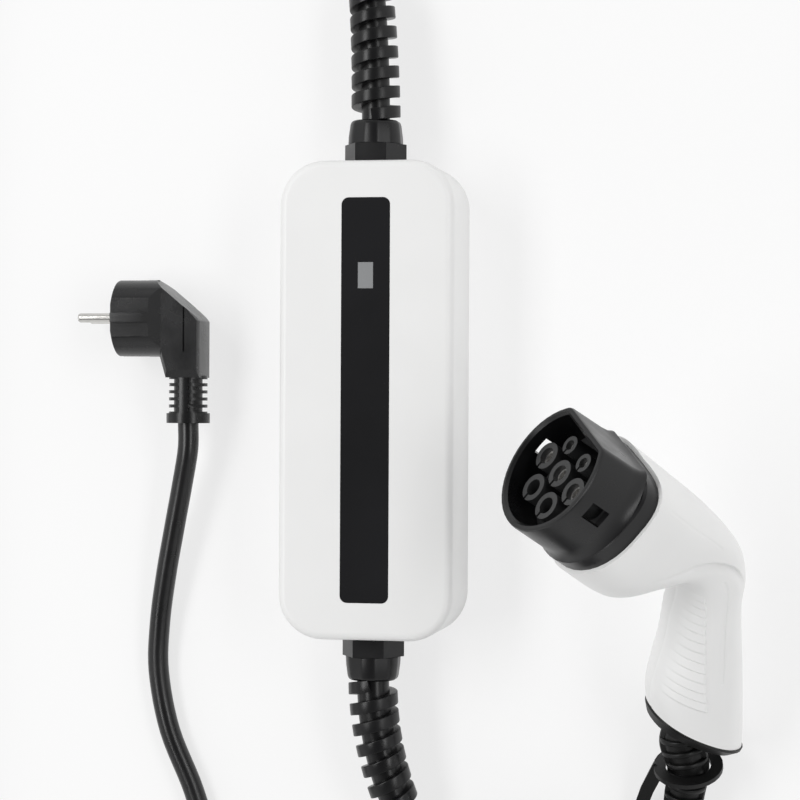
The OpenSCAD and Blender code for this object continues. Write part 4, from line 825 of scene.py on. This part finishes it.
def ribTree():
    tree, start, end = newTree("bootRibs", {"Count": 7, "Width": 0.003, "Edge": 0.0007})
    link = tree.links.new
    path, pick, points = addNodes(tree, "MeshToCurve", "ResampleCurve", "CurveToPoints")
    circle, place, grow, sweep = addNodes(tree, "CurvePrimitiveCircle", "InstanceOnPoints", "RealizeInstances",
                                          "CurveToMesh")
    circle.inputs["Resolution"].default_value = boot["sides"]
    circle.inputs["Radius"].default_value = 1.0
    points.mode = "EVALUATED"
    link(start.outputs["Geometry"], path.inputs["Mesh"])
    link(path.outputs["Curve"], pick.inputs["Curve"])
    link(start.outputs["Count"], pick.inputs["Count"])
    link(pick.outputs["Curve"], points.inputs["Curve"])
    link(points.outputs["Points"], place.inputs["Points"])
    link(points.outputs["Rotation"], place.inputs["Rotation"])
    link(circle.outputs["Curve"], place.inputs["Instance"])
    link(namedValue(tree, "reach", "FLOAT"), place.inputs["Scale"])
    link(place.outputs["Instances"], grow.inputs["Geometry"])
    link(grow.outputs["Geometry"], sweep.inputs["Curve"])
    link(stripProfile(tree, start, "Width", "Width"), sweep.inputs["Profile Curve"])
    endTree(tree, start, end, sweep.outputs["Mesh"])
    return tree


def ribMesh():
    steps, span = boot["ribSteps"], bootSpan - boot["ribsShort"]
    spots = [boot["ribsFrom"] + span * i / steps for i in range(steps + 1)]
    reach = [(bootRadius(u) - boot["ribWidth"] / 2) * mm for u in spots]
    line = lineObject("bootRibLine", [bootPlace(u) * mm for u in spots], {"reach": ("FLOAT", reach)})
    values = {"Count": boot["ribs"], "Width": boot["ribWidth"] * mm, "Edge": boot["ribEdge"] * mm,
              "Material": finish["bootRubber"]}
    return runTree(line, ribTree(), values, "bootRibs")


newPiece("connectorRelief", joinMeshes("connectorRelief", [bootMesh(), ribMesh()]), finish["bootRubber"],
         ("connector_relief",))
print("handle boot ribbed")

# Tether: its ring hangs loosely on the boot, leaning over, and the strap follows it
tether = {"at": 2, "lean": 14, "grow": 1.06, "ring": 19, "free": 48}


def leanRing(mesh):
    middle, ahead = bootPlace(tether["at"]), bootDirection(tether["at"])
    axis = sideways(ahead)[0]
    for vertex in mesh.vertices:
        offset = vertex.co / mm - middle
        share = 1 - ease(offset.length, tether["ring"], tether["free"])
        along = ahead * offset.dot(ahead)
        offset = along + (offset - along) * (1 + (tether["grow"] - 1) * share)
        vertex.co = (middle + Matrix.Rotation(math.radians(-tether["lean"]) * share, 3, axis) @ offset) * mm


leanRing(smoothPieces["tetherStrap"].data)
print("tether hung")
# Studio: a pale floor that keeps the shadow, soft light from above and the sides
studio = {"floor": (0.95, 0.95, 0.95, 1), "floorReach": 6, "floorRough": 0.9, "floorSheen": 0.1,
          "lift": 0.7, "glow": 0.965, "horizon": 1.0, "zenith": 0.16, "dimFrom": 0.25, "dimTo": 0.9, "lamps": [
              ("leftSoftbox", (-0.98, 0.25, 1.48), (0.5, 1.6), 16.5),
              ("rightSoftbox", (1.15, 0.15, 1.35), (0.4, 1.6), 8.5)]}


def addFloor():
    mesh = bpy.data.meshes.new("floor")
    corners = [(x * studio["floorReach"], y * studio["floorReach"], 0) for x, y in ((-1, -1), (1, -1), (1, 1), (-1, 1))]
    mesh.from_pydata(corners, [], [(0, 1, 2, 3)])
    floor = bpy.data.objects.new("floor", mesh)
    scene.collection.objects.link(floor)
    material, tree, shader, _ = nodeMaterial("paleFloor")
    shader.inputs["Base Color"].default_value = studio["floor"]
    shader.inputs["Roughness"].default_value = studio["floorRough"]
    shader.inputs["Specular IOR Level"].default_value = studio["floorSheen"]
    mix, glow = tree.nodes.new("ShaderNodeMixShader"), tree.nodes.new("ShaderNodeEmission")
    glow.inputs["Strength"].default_value = studio["glow"]
    share = tree.nodes.new("ShaderNodeMath")
    share.operation = "MULTIPLY"
    share.inputs[1].default_value = studio["lift"]
    tree.links.new(seenRays(tree), share.inputs[0])
    tree.links.new(share.outputs[0], mix.inputs["Fac"])
    tree.links.new(shader.outputs[0], mix.inputs[1])
    tree.links.new(glow.outputs[0], mix.inputs[2])
    tree.links.new(mix.outputs[0], tree.nodes["Material Output"].inputs["Surface"])
    mesh.materials.append(material)


def seenRays(tree):  # 1 for rays that show the background: seen, mirrored or through glass
    rays = tree.nodes.new("ShaderNodeLightPath")
    value = rays.outputs["Is Camera Ray"]
    for kind in ("Is Glossy Ray", "Is Transmission Ray"):
        either = tree.nodes.new("ShaderNodeMath")
        either.operation = "MAXIMUM"
        tree.links.new(value, either.inputs[0])
        tree.links.new(rays.outputs[kind], either.inputs[1])
        value = either.outputs[0]
    return value


def addWorld():  # white round the horizon, dimmer overhead
    world = bpy.data.worlds.new("studioWorld")
    scene.world = world
    world.use_nodes = True
    tree = world.node_tree
    place, split = tree.nodes.new("ShaderNodeTexCoord"), tree.nodes.new("ShaderNodeSeparateXYZ")
    tree.links.new(place.outputs["Generated"], split.inputs[0])
    fall = addRamp(tree, split.outputs["Z"], (studio["horizon"],) * 3 + (1,), (studio["zenith"],) * 3 + (1,),
                   studio["dimFrom"], studio["dimTo"])
    tree.links.new(fall, tree.nodes["Background"].inputs["Color"])


def addLamp(name, place, size, power):
    data = bpy.data.lights.new(name, "AREA")
    data.shape = "RECTANGLE"
    data.size, data.size_y = size
    data.energy = power
    lamp = bpy.data.objects.new(name, data)
    back = Vector(place).normalized()
    side = Vector((0, 1, 0)).cross(back).normalized()
    lamp.matrix_world = Matrix.Translation(place) @ Matrix((side, back.cross(side), back)).transposed().to_4x4()
    scene.collection.objects.link(lamp)


addFloor()
addWorld()
for lamp in studio["lamps"]:
    addLamp(*lamp)
print("studio lit")
